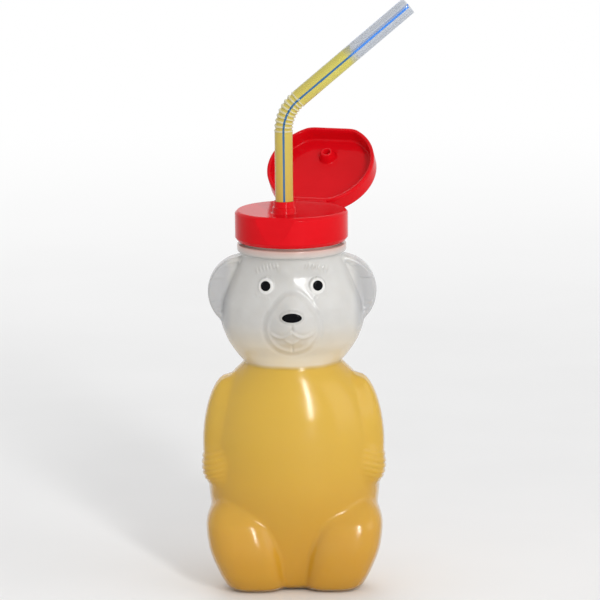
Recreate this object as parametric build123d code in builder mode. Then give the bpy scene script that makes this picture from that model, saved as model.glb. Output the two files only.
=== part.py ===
from build123d import *
import math
import os

# A bear-shaped squeeze bottle with a screw cap, a flip lid and a bendy drinking straw.
# Millimetres, +Z up. The origin is where the bottle's axis meets the surface it stands on.
# The bear looks towards -Y, and +X is on the right of a viewer who faces it.

# Bottle: trunk
wall = 1.0
torso_height = 83.0
torso_half_width = 31.0
torso_half_depth = 24.5
chin_half_width = 17.6
chin_half_depth = 17.0
head_height = 39.6
head_half_width = 25.9
head_half_depth = 22.0
push_up = 1.2
push_up_half_width = 12.0
push_up_half_depth = 9.0
push_up_border = 1.0

# The skin is drawn in flat facets: this many round the trunk, a limb and the muzzle, half as many inside
trunk_facets = 36
limb_facets = 20
muzzle_facets = 16

# Ovals up the torso: shares of its height, and of its half width and half depth alike
torso_shares = (
    (0.000, 0.575),
    (0.040, 0.710),
    (0.120, 0.810),
    (0.270, 0.940),
    (0.460, 1.000),
    (0.640, 1.000),
    (0.770, 0.955),
    (0.870, 0.865),
    (0.940, 0.730),
)

# Ovals up the head: shares of its height, and of its half width and half depth alike
head_shares = (
    (0.09, 0.795),
    (0.22, 0.920),
    (0.38, 0.995),
    (0.54, 0.985),
    (0.70, 0.905),
    (0.86, 0.800),
)

# Bottle: legs, arms, ears and face
leg_height = 35.0
leg_half_width = 13.5
leg_half_depth = 15.5
leg_spread = 17.5
leg_forward = 8.5
arm_length = 42.0
arm_radius = 7.4
arm_spread = 25.4
arm_forward = 4.5
arm_middle_height = 58.0
arm_splay = 5.0
paw_radius = 7.2
paw_length = 17.0
paw_spread = 26.0
paw_forward = 7.5
paw_height = 45.5
ear_radius = 13.5
ear_thickness = 8.0
ear_spread = 17.0
ear_height = 108.7
ear_rim = 1.9
ear_recess = 1.2
ear_bevel = 1.2
muzzle_bottom = 90.0
muzzle_height = 21.5
muzzle_half_width = 9.85
muzzle_half_depth = 10.6
muzzle_forward = 15.0
eye_spread = 9.4
eye_height = 113.6
eye_depth = 17.9
eye_yaw = 18.0
eye_pitch = 8.0
eye_radius = 1.9
eye_ring_radius = 3.0
eye_ring_length = 3.0
eye_thickness = 0.45
nose_height = 103.3
nose_depth = 26.1
nose_half_width = 3.6
nose_half_height = 1.7
nose_thickness = 0.6
nose_pad_margin = 0.7
nose_pad_length = 3.0

# Ovals up a leg: shares of its height, spread and forward place, and of its half width and half depth alike
leg_shares = (
    (0.00, 0.78, 0.75, 0.67),
    (0.07, 0.80, 0.81, 0.83),
    (0.20, 0.87, 0.93, 0.92),
    (0.45, 1.00, 1.00, 1.00),
    (0.68, 1.10, 0.96, 0.95),
    (0.87, 1.16, 0.83, 0.74),
    (1.00, 1.16, 0.70, 0.42),
)

# Rings along an arm or a paw: shares of its half length, from its lower end to its upper end
limb_shares = (-0.97, -0.80, -0.45, 0.0, 0.45, 0.80, 0.97)

# Ovals up the muzzle: shares of its height, half width and half depth
muzzle_shares = (
    (0.00, 0.40, 0.28),
    (0.15, 0.80, 0.70),
    (0.38, 1.00, 0.96),
    (0.58, 0.97, 1.00),
    (0.80, 0.66, 0.78),
    (1.00, 0.30, 0.36),
)

# Neck finish
neck_radius = 17.7
neck_bore_radius = 16.0
neck_lip_height = 136.4
neck_root_radius = 18.0
bead_radius = 19.8
bead_bottom = 123.4
bead_top = 126.3
bead_bevel = 0.9

# Seal and cap
seal_thickness = 0.8
seal_margin = 0.2
cap_radius = 20.5
cap_wall = 1.35
cap_bottom = 127.3
deck_thickness = 1.3
land_depth = 2.6
land_clearance = 0.25
cap_top_bevel = 1.0
cap_foot_bevel = 1.0
cap_foot_length = 1.4
hinge_azimuth = 72.0
hinge_reach = 19.0
hinge_width = 14.0
hinge_thickness = 0.5
hinge_face_gap = 0.6
ledge_clearance = 0.3
scoop_depth = 1.0
scoop_length = 9.8
spout_offset = 7.8
spout_radius = 4.35
spout_step_radius = 3.85
spout_height = 4.4
spout_step_height = 2.2
spout_bevel = 0.3

# Lid, drawn shut and then opened about the hinge
lid_radius = 20.0
lid_height = 6.75
lid_wall = 1.3
lid_front_flat = 18.1
lid_rear_flat = 18.5
lid_corner_round = 3.0
lid_bevel = 1.1
lid_open_angle = 142.4
lid_seat_gap = 0.1
plug_length = 3.3
plug_base_radius = 3.2
plug_tip_radius = 2.1
plug_bore_radius = 1.3
plug_bore_depth = 2.6

# Straw
straw_radius = 3.25
straw_wall = 0.35
straw_fit = 0.06
straw_foot_gap = 3.2
straw_stand = 25.5
straw_turn = 50.0
bend_radius = 15.0
pleats = 8
bore_steps = 3
pleat_rise = 0.15
pleat_fall = 0.35
pleat_wall = 0.4
plain_end = 6.5
upper_length = 52.0

# One overrun for every cut
overrun = 3.0

chin_height = torso_height
neck_root_height = torso_height + head_height
deck_bottom = neck_lip_height + seal_thickness
deck_top = deck_bottom + deck_thickness
floor_height = wall + push_up
spout_top = deck_top + spout_height

# Directions of the cap: back points from the axis to the hinge, along is the hinge line
hinge_turn = math.radians(hinge_azimuth)
back = Vector(math.cos(hinge_turn), math.sin(hinge_turn), 0)
along = Vector(-math.sin(hinge_turn), math.cos(hinge_turn), 0)
hinge_axis = Axis(back * hinge_reach + Vector(0, 0, deck_top), along)
spout_place = back * -spout_offset

# Inside of the cap: the wide part clears the neck's thread, the land guides the lip
land_radius = neck_radius + land_clearance
thread_space_radius = cap_radius - cap_wall
notch_face = hinge_reach - hinge_face_gap

# The straw's line, from its foot on the bottle's floor to the drinking end
straw_foot = floor_height + straw_foot_gap
pleats_bottom = spout_top + straw_stand
bellows_bottom = pleats_bottom - plain_end
bend_turn = math.radians(straw_turn)
upper_direction = Vector(math.sin(bend_turn), 0, math.cos(bend_turn))


def bend_point(turn):
    """Point of the bend's centre line after the given turn, in radians."""
    reach = bend_radius * (1 - math.cos(turn))
    climb = bend_radius * math.sin(turn)
    return Vector(spout_place.X + reach, spout_place.Y, pleats_bottom + climb)


def bend_plane(turn):
    """Plane square to the bend's centre line after the given turn."""
    heading = Vector(math.sin(turn), 0, math.cos(turn))
    return Plane(bend_point(turn), x_dir=(0, 1, 0), z_dir=heading)


pleats_top = bend_point(bend_turn)
upper_start = pleats_top + upper_direction * plain_end
upper_end = pleats_top + upper_direction * upper_length


def oval_loft(ovals, facets):
    """Skin of flat triangles through level ovals, each (height, x, y, half width, half depth)."""
    turns = [2 * math.pi * facet / facets for facet in range(facets)]
    rings = []
    for height, x, y, half_width, half_depth in ovals:
        spans = [(half_width * math.cos(turn), half_depth * math.sin(turn)) for turn in turns]
        rings.append([Vector(x + span_x, y + span_y, height) for span_x, span_y in spans])
    outlines = [rings[0], rings[-1]]
    for lower, upper in zip(rings, rings[1:]):
        for facet in range(facets):
            after = (facet + 1) % facets
            outlines.append((lower[facet], lower[after], upper[after]))
            outlines.append((lower[facet], upper[after], upper[facet]))
    return Solid(Shell([Face(Wire.make_polygon(outline)) for outline in outlines]))


def torso_ovals(inset):
    """Ovals of the torso, the last one at the crease under the chin."""
    ovals = []
    for height_share, size_share in torso_shares:
        height = max(height_share * torso_height, inset)
        half_width = size_share * torso_half_width - inset
        half_depth = size_share * torso_half_depth - inset
        ovals.append((height, 0, 0, half_width, half_depth))
    ovals.append((chin_height, 0, 0, chin_half_width - inset, chin_half_depth - inset))
    return ovals


def head_ovals(inset):
    """Ovals of the head, from the crease under the chin to the foot of the neck."""
    ovals = [(chin_height, 0, 0, chin_half_width - inset, chin_half_depth - inset)]
    for height_share, size_share in head_shares:
        height = chin_height + height_share * head_height
        half_width = size_share * head_half_width - inset
        half_depth = size_share * head_half_depth - inset
        ovals.append((height, 0, 0, half_width, half_depth))
    ovals.append((neck_root_height, 0, 0, neck_root_radius - inset, neck_root_radius - inset))
    return ovals


def leg_ovals(side, inset):
    """Ovals of the leg on one side, 1 for +X and -1 for -X."""
    ovals = []
    for height_share, spread_share, forward_share, size_share in leg_shares:
        height = max(height_share * (leg_height - inset), inset)
        x = side * spread_share * leg_spread
        y = -forward_share * leg_forward
        half_width = size_share * leg_half_width - inset
        half_depth = size_share * leg_half_depth - inset
        ovals.append((height, x, y, half_width, half_depth))
    return ovals


def muzzle_ovals(inset):
    """Ovals of the muzzle, which stands out of the face."""
    ovals = []
    for height_share, width_share, depth_share in muzzle_shares:
        height = muzzle_bottom + inset + height_share * (muzzle_height - 2 * inset)
        half_width = width_share * muzzle_half_width - inset
        half_depth = depth_share * muzzle_half_depth - inset
        ovals.append((height, 0, -muzzle_forward, half_width, half_depth))
    return ovals


def push_up_ovals(inset):
    """Ovals of the dish under the base, or with an inset of the floor over it."""
    bottom_half_width = push_up_half_width + inset
    bottom_half_depth = push_up_half_depth + inset
    return [
        (0, 0, 0, bottom_half_width, bottom_half_depth),
        (push_up + inset, 0, 0, bottom_half_width - push_up_border, bottom_half_depth - push_up_border),
    ]


def limb_ovals(middle, radius, half_length, lean):
    """Rings of an egg-shaped limb whose top leans sideways by the given angle in degrees."""
    turn = math.radians(lean)
    ovals = []
    for share in limb_shares:
        along_limb = share * half_length
        ring_radius = radius * math.sqrt(1 - share**2)
        x = middle.X + along_limb * math.sin(turn)
        height = middle.Z + along_limb * math.cos(turn)
        ovals.append((height, x, middle.Y, ring_radius, ring_radius))
    return ovals


def arm_ovals(side, inset):
    """Rings of the arm on one side, 1 for +X and -1 for -X."""
    middle = Vector(side * arm_spread, -arm_forward, arm_middle_height)
    return limb_ovals(middle, arm_radius - inset, arm_length / 2 - inset, -side * arm_splay)


def paw_ovals(side, inset):
    """Rings of the paw on one side."""
    middle = Vector(side * paw_spread, -paw_forward, paw_height)
    return limb_ovals(middle, paw_radius - inset, paw_length / 2 - inset, 0)


def bear_form(inset, fineness):
    """The bear as a solid, drawn in by inset on every side. fineness scales the count of its facets."""
    trunk_count = round(trunk_facets * fineness)
    limb_count = round(limb_facets * fineness)
    torso = oval_loft(torso_ovals(inset), trunk_count)
    head = oval_loft(head_ovals(inset), trunk_count)
    muzzle = oval_loft(muzzle_ovals(inset), round(muzzle_facets * fineness))
    dish = oval_loft(push_up_ovals(inset), limb_count)
    limbs = []
    for side in (1, -1):
        limbs.append(oval_loft(leg_ovals(side, inset), limb_count))
        limbs.append(oval_loft(arm_ovals(side, inset), limb_count))
        limbs.append(oval_loft(paw_ovals(side, inset), limb_count))
    with BuildPart() as form:
        add(torso)
        for limb in limbs:
            add(limb)
        add(head)
        add(muzzle)
        add(dish, mode=Mode.SUBTRACT)
    return form.part


def ear_plane(side, y):
    """Upright plane through an ear's middle, looking forwards."""
    return Plane((side * ear_spread, y, ear_height), x_dir=(1, 0, 0), z_dir=(0, -1, 0))


def ear_form(side):
    """Ear: a rounded disc in the parting plane with a sunk front."""
    with BuildPart() as ear:
        with BuildSketch(ear_plane(side, ear_thickness / 2)):
            Circle(ear_radius)
        extrude(amount=ear_thickness)
        chamfer(ear.edges().filter_by(GeomType.CIRCLE), length=ear_bevel)
        with BuildSketch(ear_plane(side, -ear_thickness / 2)):
            Circle(ear_radius - ear_rim)
        extrude(amount=-ear_recess, mode=Mode.SUBTRACT)
    return ear.part


def ear_hollow(side):
    """Space inside the ear."""
    with BuildPart() as hollow:
        with BuildSketch(ear_plane(side, ear_thickness / 2 - wall)):
            Circle(ear_radius - ear_rim)
        extrude(amount=ear_thickness - ear_recess - 2 * wall)
    return hollow.part


def eye_plane(side):
    """Plane on the face of an eye's ring, looking outwards. side is 1 or -1."""
    yaw = math.radians(eye_yaw)
    pitch = math.radians(eye_pitch)
    level = math.cos(pitch)
    outward = Vector(side * math.sin(yaw) * level, -math.cos(yaw) * level, math.sin(pitch))
    return Plane((side * eye_spread, -eye_depth, eye_height), z_dir=outward)


def cap_plane(height):
    """Level plane of the cap, whose x axis points from the bottle's axis to the hinge."""
    return Plane((0, 0, height), x_dir=back)


def lid_outline(margin):
    """Round outline of the lid with its front and rear flats, drawn in by margin."""
    with BuildSketch() as outline:
        Circle(lid_radius - margin)
        with Locations(((lid_rear_flat - lid_front_flat) / 2, 0)):
            length = lid_front_flat + lid_rear_flat - 2 * margin
            Rectangle(length, 2 * lid_radius, mode=Mode.INTERSECT)
        fillet(outline.vertices(), radius=lid_corner_round - margin)
    return outline.sketch


def shut_lid():
    """The lid as it sits on the cap: rim down, with its plug over the spout."""
    rim_height = deck_top + lid_seat_gap
    plate_height = rim_height + lid_height - lid_wall
    tip_height = plate_height - plug_length
    plug_taper = math.degrees(math.atan((plug_base_radius - plug_tip_radius) / plug_length))
    with BuildPart() as lid:
        with BuildSketch(cap_plane(rim_height)):
            add(lid_outline(0))
        extrude(amount=lid_height)
        chamfer(lid.faces().sort_by(Axis.Z)[-1].edges(), length=lid_bevel)
        with BuildSketch(cap_plane(rim_height)):
            add(lid_outline(lid_wall))
        extrude(amount=plate_height - rim_height, mode=Mode.SUBTRACT)
        with BuildSketch(Plane(back * -spout_offset + Vector(0, 0, plate_height), z_dir=(0, 0, -1))):
            Circle(plug_base_radius)
        extrude(amount=plug_length, taper=plug_taper)
        with BuildSketch(Plane(back * -spout_offset + Vector(0, 0, tip_height))):
            Circle(plug_bore_radius)
        extrude(amount=plug_bore_depth, mode=Mode.SUBTRACT)
    return lid.part


def opened(reach, height):
    """Reach and height, on the open lid, of a point given on the shut lid."""
    turn = math.radians(lid_open_angle)
    run = reach - hinge_reach
    rise = height - deck_top
    open_reach = hinge_reach + run * math.cos(turn) + rise * math.sin(turn)
    open_height = deck_top - run * math.sin(turn) + rise * math.cos(turn)
    return (open_reach, open_height)


def printed_eye(side):
    """Printed dot on the raised ring of an eye."""
    with BuildPart() as dot:
        with BuildSketch(eye_plane(side)):
            Circle(eye_radius)
        extrude(amount=eye_thickness)
    return dot.part


outer = bear_form(0, 1)
inner = bear_form(wall, 1 / 2)
ears = [ear_form(1), ear_form(-1)]
ear_hollows = [ear_hollow(1), ear_hollow(-1)]
nose_plane = Plane((0, -nose_depth, nose_height), x_dir=(1, 0, 0), z_dir=(0, -1, 0))

# Bottle: one hollow blow-moulded piece
with BuildPart() as bear_bottle:
    add(outer)
    for ear in ears:
        add(ear)
    for side in (1, -1):
        with BuildSketch(eye_plane(side)):
            Circle(eye_ring_radius)
        extrude(amount=-eye_ring_length)
    with BuildSketch(nose_plane):
        Ellipse(nose_half_width + nose_pad_margin, nose_half_height + nose_pad_margin)
    extrude(amount=-nose_pad_length)
    with BuildSketch(Plane.XZ):
        with BuildLine():
            Polyline(
                (0, neck_root_height),
                (neck_root_radius, neck_root_height),
                (neck_root_radius, bead_bottom),
                (bead_radius, bead_bottom + bead_bevel),
                (bead_radius, bead_top),
                (neck_radius, bead_top),
                (neck_radius, neck_lip_height),
                (0, neck_lip_height),
                close=True,
            )
        make_face()
    revolve(axis=Axis.Z)
    add(inner, mode=Mode.SUBTRACT)
    for hollow in ear_hollows:
        add(hollow, mode=Mode.SUBTRACT)
    with BuildSketch(Plane.XY.offset(neck_root_height - overrun)):
        Circle(neck_bore_radius)
    extrude(amount=neck_lip_height - neck_root_height + 2 * overrun, mode=Mode.SUBTRACT)
bear_bottle.part.label = "bear_bottle"

# Eyes: printed dots on their raised rings
with BuildPart() as right_eye:
    add(printed_eye(1))
right_eye.part.label = "right_eye"

with BuildPart() as left_eye:
    add(printed_eye(-1))
left_eye.part.label = "left_eye"

# Nose: printed oval on its pad
with BuildPart() as nose:
    with BuildSketch(nose_plane):
        Ellipse(nose_half_width, nose_half_height)
    extrude(amount=nose_thickness)
nose.part.label = "nose"

# Seal ring between the lip of the neck and the deck of the cap
with BuildPart() as seal_ring:
    with BuildSketch(Plane.XY.offset(neck_lip_height)):
        Circle(neck_radius - seal_margin)
        Circle(neck_bore_radius + seal_margin, mode=Mode.SUBTRACT)
    extrude(amount=seal_thickness)
seal_ring.part.label = "seal_ring"

# Cap: skirt and deck turned in one, then the spout, the thumb scoop and the hinge notch
side_plane = Plane((0, 0, 0), x_dir=back, z_dir=-along)
ledge_run, ledge_rise = opened(lid_rear_flat, deck_top + lid_seat_gap)
lid_turn = math.radians(lid_open_angle)
ledge_drop = (cap_radius - ledge_run) / math.tan(math.pi - lid_turn)
ledge_height = ledge_rise - ledge_drop - ledge_clearance / math.sin(lid_turn)
with BuildPart() as cap_base:
    with BuildSketch(Plane.XZ):
        with BuildLine():
            Polyline(
                (0, deck_bottom),
                (land_radius, deck_bottom),
                (land_radius, deck_bottom - land_depth),
                (thread_space_radius, deck_bottom - land_depth),
                (thread_space_radius, cap_bottom),
                (cap_radius - cap_foot_bevel, cap_bottom),
                (cap_radius, cap_bottom + cap_foot_length),
                (cap_radius, deck_top - cap_top_bevel),
                (cap_radius - cap_top_bevel, deck_top),
                (0, deck_top),
                close=True,
            )
        make_face()
    revolve(axis=Axis.Z)
    with BuildSketch(Plane(spout_place + Vector(0, 0, deck_bottom))):
        Circle(spout_radius)
    extrude(amount=deck_thickness + spout_step_height)
    with BuildSketch(Plane(spout_place + Vector(0, 0, deck_bottom))):
        Circle(spout_step_radius)
    extrude(amount=deck_thickness + spout_height)
    chamfer(cap_base.faces().sort_by(Axis.Z)[-1].edges(), length=spout_bevel)
    with BuildSketch(Plane(spout_place + Vector(0, 0, deck_bottom - overrun))):
        Circle(straw_radius + straw_fit)
    extrude(amount=deck_thickness + spout_height + 2 * overrun, mode=Mode.SUBTRACT)
    with BuildSketch(side_plane):
        with BuildLine():
            Polyline(
                (-cap_radius - scoop_depth, deck_top - 2 * scoop_length),
                (-cap_radius + 2 * scoop_depth, deck_top + scoop_length),
                (-cap_radius - overrun, deck_top + scoop_length),
                (-cap_radius - overrun, deck_top - 2 * scoop_length),
                close=True,
            )
        make_face()
    extrude(amount=cap_radius, both=True, mode=Mode.SUBTRACT)
    with BuildSketch(side_plane):
        with BuildLine():
            Polyline(
                (notch_face, ledge_height),
                (cap_radius + overrun, ledge_height),
                (cap_radius + overrun, deck_top + overrun),
                (notch_face, deck_top + overrun),
                close=True,
            )
        make_face()
    extrude(amount=cap_radius, both=True, mode=Mode.SUBTRACT)
cap_base.part.label = "cap_base"

# Lid, opened to its stop
with BuildPart() as flip_lid:
    add(shut_lid().rotate(hinge_axis, lid_open_angle))
flip_lid.part.label = "flip_lid"

# Living hinge: the thin strap from the notch in the cap to the rear wall of the lid
lid_corner = opened(lid_rear_flat, deck_top + lid_seat_gap)
lid_strap_end = opened(lid_rear_flat, deck_top + lid_seat_gap + hinge_thickness)
with BuildPart() as hinge_web:
    with BuildSketch(side_plane):
        with BuildLine():
            Polyline(
                (notch_face, deck_top - 2 * hinge_thickness),
                lid_strap_end,
                lid_corner,
                (notch_face, deck_top - hinge_thickness),
                close=True,
            )
        make_face()
    extrude(amount=hinge_width / 2, both=True)
hinge_web.part.label = "hinge_web"

# Straw: lower tube
straw_bore_radius = straw_radius - straw_wall
with BuildPart() as straw_lower:
    with BuildSketch(Plane((spout_place.X, spout_place.Y, straw_foot))):
        Circle(straw_radius)
        Circle(straw_bore_radius, mode=Mode.SUBTRACT)
    extrude(amount=bellows_bottom - straw_foot)
straw_lower.part.label = "straw_lower"

# Straw: pleated bend between two plain ends
crest_radius = straw_radius + pleat_rise
root_radius = straw_radius - pleat_fall
pleat_shares = ((0.0, crest_radius), (0.3, crest_radius), (0.5, root_radius), (0.8, root_radius))
with BuildPart() as straw_bellows:
    for pleat in range(pleats):
        for share, radius in pleat_shares:
            with BuildSketch(bend_plane(bend_turn * (pleat + share) / pleats)):
                Circle(radius)
    with BuildSketch(bend_plane(bend_turn)):
        Circle(crest_radius)
    loft(ruled=True)
    for step in range(bore_steps + 1):
        with BuildSketch(bend_plane(bend_turn * step / bore_steps)):
            Circle(root_radius - pleat_wall)
    loft(ruled=True, mode=Mode.SUBTRACT)
    with BuildSketch(Plane((spout_place.X, spout_place.Y, bellows_bottom))):
        Circle(straw_radius)
        Circle(straw_bore_radius, mode=Mode.SUBTRACT)
    extrude(amount=plain_end)
    with BuildSketch(Plane(pleats_top, x_dir=(0, 1, 0), z_dir=upper_direction)):
        Circle(straw_radius)
        Circle(straw_bore_radius, mode=Mode.SUBTRACT)
    extrude(amount=plain_end)
straw_bellows.part.label = "straw_bellows"

# Straw: drinking end
with BuildPart() as straw_upper:
    with BuildSketch(Plane(upper_start, x_dir=(0, 1, 0), z_dir=upper_direction)):
        Circle(straw_radius)
        Circle(straw_bore_radius, mode=Mode.SUBTRACT)
    extrude(amount=upper_length - plain_end)
straw_upper.part.label = "straw_upper"

os.makedirs("parts", exist_ok=True)
export_step(bear_bottle.part, "parts/bear_bottle.step")
export_step(left_eye.part, "parts/left_eye.step")
export_step(right_eye.part, "parts/right_eye.step")
export_step(nose.part, "parts/nose.step")
export_step(seal_ring.part, "parts/seal_ring.step")
export_step(cap_base.part, "parts/cap_base.step")
export_step(hinge_web.part, "parts/hinge_web.step")
export_step(flip_lid.part, "parts/flip_lid.step")
export_step(straw_lower.part, "parts/straw_lower.step")
export_step(straw_bellows.part, "parts/straw_bellows.step")
export_step(straw_upper.part, "parts/straw_upper.step")
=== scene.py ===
import math

import bpy
import numpy as np
from bpy.props import FloatProperty, FloatVectorProperty, PointerProperty
from mathutils import Matrix, Vector


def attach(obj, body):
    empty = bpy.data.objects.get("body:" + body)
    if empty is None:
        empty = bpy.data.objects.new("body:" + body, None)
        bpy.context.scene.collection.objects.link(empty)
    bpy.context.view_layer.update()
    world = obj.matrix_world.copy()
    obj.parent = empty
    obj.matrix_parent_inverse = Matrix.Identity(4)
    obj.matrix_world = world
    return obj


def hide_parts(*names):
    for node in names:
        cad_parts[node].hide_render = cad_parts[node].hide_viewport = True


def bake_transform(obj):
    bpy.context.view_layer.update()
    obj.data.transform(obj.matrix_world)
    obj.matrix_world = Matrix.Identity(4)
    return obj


bl_info = {
    "name": "Bear Squeeze Bottle",
    "version": (1, 0, 0),
    "blender": (4, 5, 0),
    "location": "View3D > Sidebar > Bear Bottle",
    "description": "Milky bear bottle with its drink, red flip cap and bendy straw",
    "category": "Add Mesh",
}

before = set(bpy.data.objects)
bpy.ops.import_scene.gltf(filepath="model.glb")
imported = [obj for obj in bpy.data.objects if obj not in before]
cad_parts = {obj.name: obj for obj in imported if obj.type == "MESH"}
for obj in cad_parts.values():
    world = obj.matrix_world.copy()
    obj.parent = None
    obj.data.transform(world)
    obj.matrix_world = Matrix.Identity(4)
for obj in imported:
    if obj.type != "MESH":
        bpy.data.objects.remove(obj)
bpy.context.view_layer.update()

# Shapes are worked out in millimetres and made metres when they become a mesh
MM = 0.001

# Side of the picture in pixels, and how many of them a millimetre at the bottle's axis takes
IMAGE_SIDE = 600
PIXELS_PER_MM = 2.754

# Trunk of the bear: shares of height, half width and half depth up the torso, and of height and
# both half sizes up the head
TORSO_HEIGHT = 83.0
TORSO_HALF = (31.0, 24.5)
CHIN_HALF = (17.6, 17.0)
HEAD_HEIGHT = 39.6
HEAD_HALF = (25.9, 22.0)
NECK_ROOT = 18.0
TORSO_SHARES = np.array((
    (0.000, 0.575, 0.560),
    (0.040, 0.710, 0.680),
    (0.120, 0.810, 0.775),
    (0.270, 0.930, 0.885),
    (0.460, 1.000, 0.990),
    (0.640, 1.000, 1.000),
    (0.770, 0.955, 0.955),
    (0.870, 0.865, 0.885),
    (0.940, 0.730, 0.800),
))
HEAD_SHARES = np.array((
    (0.09, 0.795),
    (0.22, 0.920),
    (0.38, 0.995),
    (0.54, 0.985),
    (0.70, 0.905),
    (0.86, 0.800),
))

# Legs: shares of height, spread and forward place, and of both half sizes
LEG_HEIGHT = 35.0
LEG_HALF = (13.5, 15.5)
LEG_SPREAD = 17.5
LEG_FORWARD = 9.3
LEG_FULLNESS = 2.8
LEG_SHARES = np.array((
    (0.00, 0.78, 0.75, 0.67),
    (0.07, 0.80, 0.81, 0.83),
    (0.20, 0.87, 0.93, 0.92),
    (0.45, 1.00, 1.00, 1.00),
    (0.68, 1.10, 0.96, 0.95),
    (0.87, 1.16, 0.83, 0.74),
    (1.00, 1.16, 0.70, 0.42),
))
TORSO_LIFT = 0.7
FOOT_ROUND = 1.6
PUSH_UP = 1.2
PUSH_UP_HALF = (12.0, 9.0)
PUSH_UP_ROUND = 1.0

# Arms and paws: middle, radius, half length and lean in degrees
ARM_MIDDLE = (25.4, -4.5, 58.0)
ARM_RADIUS = 7.4
ARM_HALF_LENGTH = 21.0
ARM_SPLAY = 5.0
PAW_MIDDLE = (26.0, -7.5, 45.5)
PAW_RADIUS = 7.2
PAW_HALF_LENGTH = 8.5
FINGER_BOTTOM = 42.2
FINGER_PITCH = 2.1
FINGER_COUNT = 5
FINGER_RELIEF = 0.85

# Ears, muzzle, eye rings and nose pad
EAR_MIDDLE = (17.0, 108.7)
EAR_RADIUS = 13.5
EAR_HALF_THICKNESS = 4.0
EAR_ROUND = 1.3
EAR_RIM = 1.9
EAR_RECESS = 1.2
EAR_RIM_ROUND = 0.6
MUZZLE_BOTTOM = 90.0
MUZZLE_HEIGHT = 21.5
MUZZLE_HALF = (9.85, 10.6)
MUZZLE_FORWARD = 15.0
MUZZLE_ROUND = 1.0
MUZZLE_SHARES = np.array((
    (0.00, 0.40, 0.28),
    (0.15, 0.80, 0.70),
    (0.38, 1.00, 0.96),
    (0.58, 0.97, 1.00),
    (0.80, 0.66, 0.78),
    (1.00, 0.30, 0.36),
))
EYE_PLACE = (9.4, -17.9, 113.6)
EYE_YAW = 18.0
EYE_PITCH = 8.0
EYE_RADIUS = 1.85
EYE_RING_RADIUS = 2.95
EYE_RING_ROUND = 0.7
EYE_DOME = 0.42
NOSE_HEIGHT = 103.3
NOSE_DEPTH = 26.1
NOSE_HALF = (3.6, 1.7)
NOSE_PAD_HALF = (4.25, 2.35)
NOSE_PAD_ROUND = 0.8
NOSE_DOME = 0.58

# Fillets where the bear's forms meet
CHIN_FILLET = 0.8
LEG_FILLET = 1.4
PAW_FILLET = 2.0
ARM_FILLET = 1.8
EAR_FILLET = 1.2
MUZZLE_FILLET = 1.6
EYE_RING_FILLET = 0.5
NOSE_PAD_FILLET = 0.7

# Neck, thread and bead
NECK_RADIUS = 17.7
NECK_BORE = 16.0
LIP_HEIGHT = 136.4
NECK_ROOT_HEIGHT = 122.6
NECK_LIP_ROUND = 0.35
BEAD_RADIUS = 19.8
BEAD_BOTTOM = 123.4
BEAD_TOP = 126.3
BEAD_BOTTOM_ROUND = 0.9
BEAD_TOP_ROUND = 0.45
THREAD_PITCH = 4.233
THREAD_BOTTOM = 128.2
THREAD_TURNS = 1.25
THREAD_HALF_WIDTH = 0.95
THREAD_RELIEF = 1.05
THREAD_CREST = 0.35
THREAD_RUN_OUT = 0.08

# The wall that shows, and the gap between it and the drink
WALL = 0.5
DRINK_GAP = 0.05
DRINK_LEVEL = 84.3
MENISCUS = 0.9
WELL_GAP = 0.08

# Cap and lid, measured along the line from the bottle's axis back to the hinge
HINGE_AZIMUTH = math.radians(72.0)
HINGE_REACH = 19.0
HINGE_WIDTH = 14.0
HINGE_THICKNESS = 0.5
CAP_RADIUS = 20.5
CAP_BOTTOM = 127.3
CAP_BEVEL = 1.0
DECK_BOTTOM = 137.2
DECK_TOP = 138.5
THREAD_SPACE = 19.15
LAND_RADIUS = 17.95
LAND_DEPTH = 2.6
LEDGE_HEIGHT = 136.9
NOTCH_REACH = 18.4
SPOUT_OFFSET = 7.8
SPOUT_RADIUS = 4.35
SPOUT_STEP_RADIUS = 3.85
SPOUT_HEIGHT = 4.4
SPOUT_STEP_HEIGHT = 2.2
SPOUT_BORE = 3.31
SPOUT_FILLET = 0.4
SPOUT_STEP_FILLET = 0.15
SPOUT_EDGE = 0.2
SCOOP_TOP = 18.95
SCOOP_SLOPE = 0.163
SCOOP_EDGE = 0.08
LID_RADIUS = 20.0
LID_HEIGHT = 6.75
LID_WALL = 1.3
LID_FLATS = (18.1, 18.5)
LID_FLAT_BLEND = 0.9
LID_EDGE = 0.25
LID_TOP_ROUND = 1.1
LID_PLATE_FILLET = 0.9
LID_SEAT = 138.6
LID_OPEN = math.radians(142.4)
PLUG_LENGTH = 3.3
PLUG_RADII = (3.2, 2.1)
PLUG_BORE = 1.3
PLUG_BORE_DEPTH = 2.6

# Straw
STRAW_RADIUS = 3.25
STRAW_BORE = 2.9
STRAW_FOOT = 5.4
BELLOWS_BOTTOM = 161.9
PLEATS_BOTTOM = 168.4
PLAIN_END = 6.5
BEND_RADIUS = 15.0
BEND_TURN = math.radians(50.0)
BEND_LENGTH = BEND_RADIUS * BEND_TURN
PLEATS = 8
PLEAT_CREST = 3.4
PLEAT_ROOT = 2.9
PLEAT_WALL = 0.4
UPPER_LENGTH = 52.0
STRAW_DRINK_RADIUS = 2.86
STRAW_DRINK_TOP = 25.0
STRAW_COLUMNS = 64
RIM_BREAK = 0.08
# Rings to each pleat, and the gap between the pleats and the next plain ring
PLEAT_ROWS = 16
PLEAT_GAP = 0.2
# How far the drink's end leans back for each unit across
DRINK_SLANT = 0.9

BACK = np.array((math.cos(HINGE_AZIMUTH), math.sin(HINGE_AZIMUTH), 0.0))
ALONG = np.array((-math.sin(HINGE_AZIMUTH), math.cos(HINGE_AZIMUTH), 0.0))
SPOUT = -SPOUT_OFFSET * BACK


# Curves and fields

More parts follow.
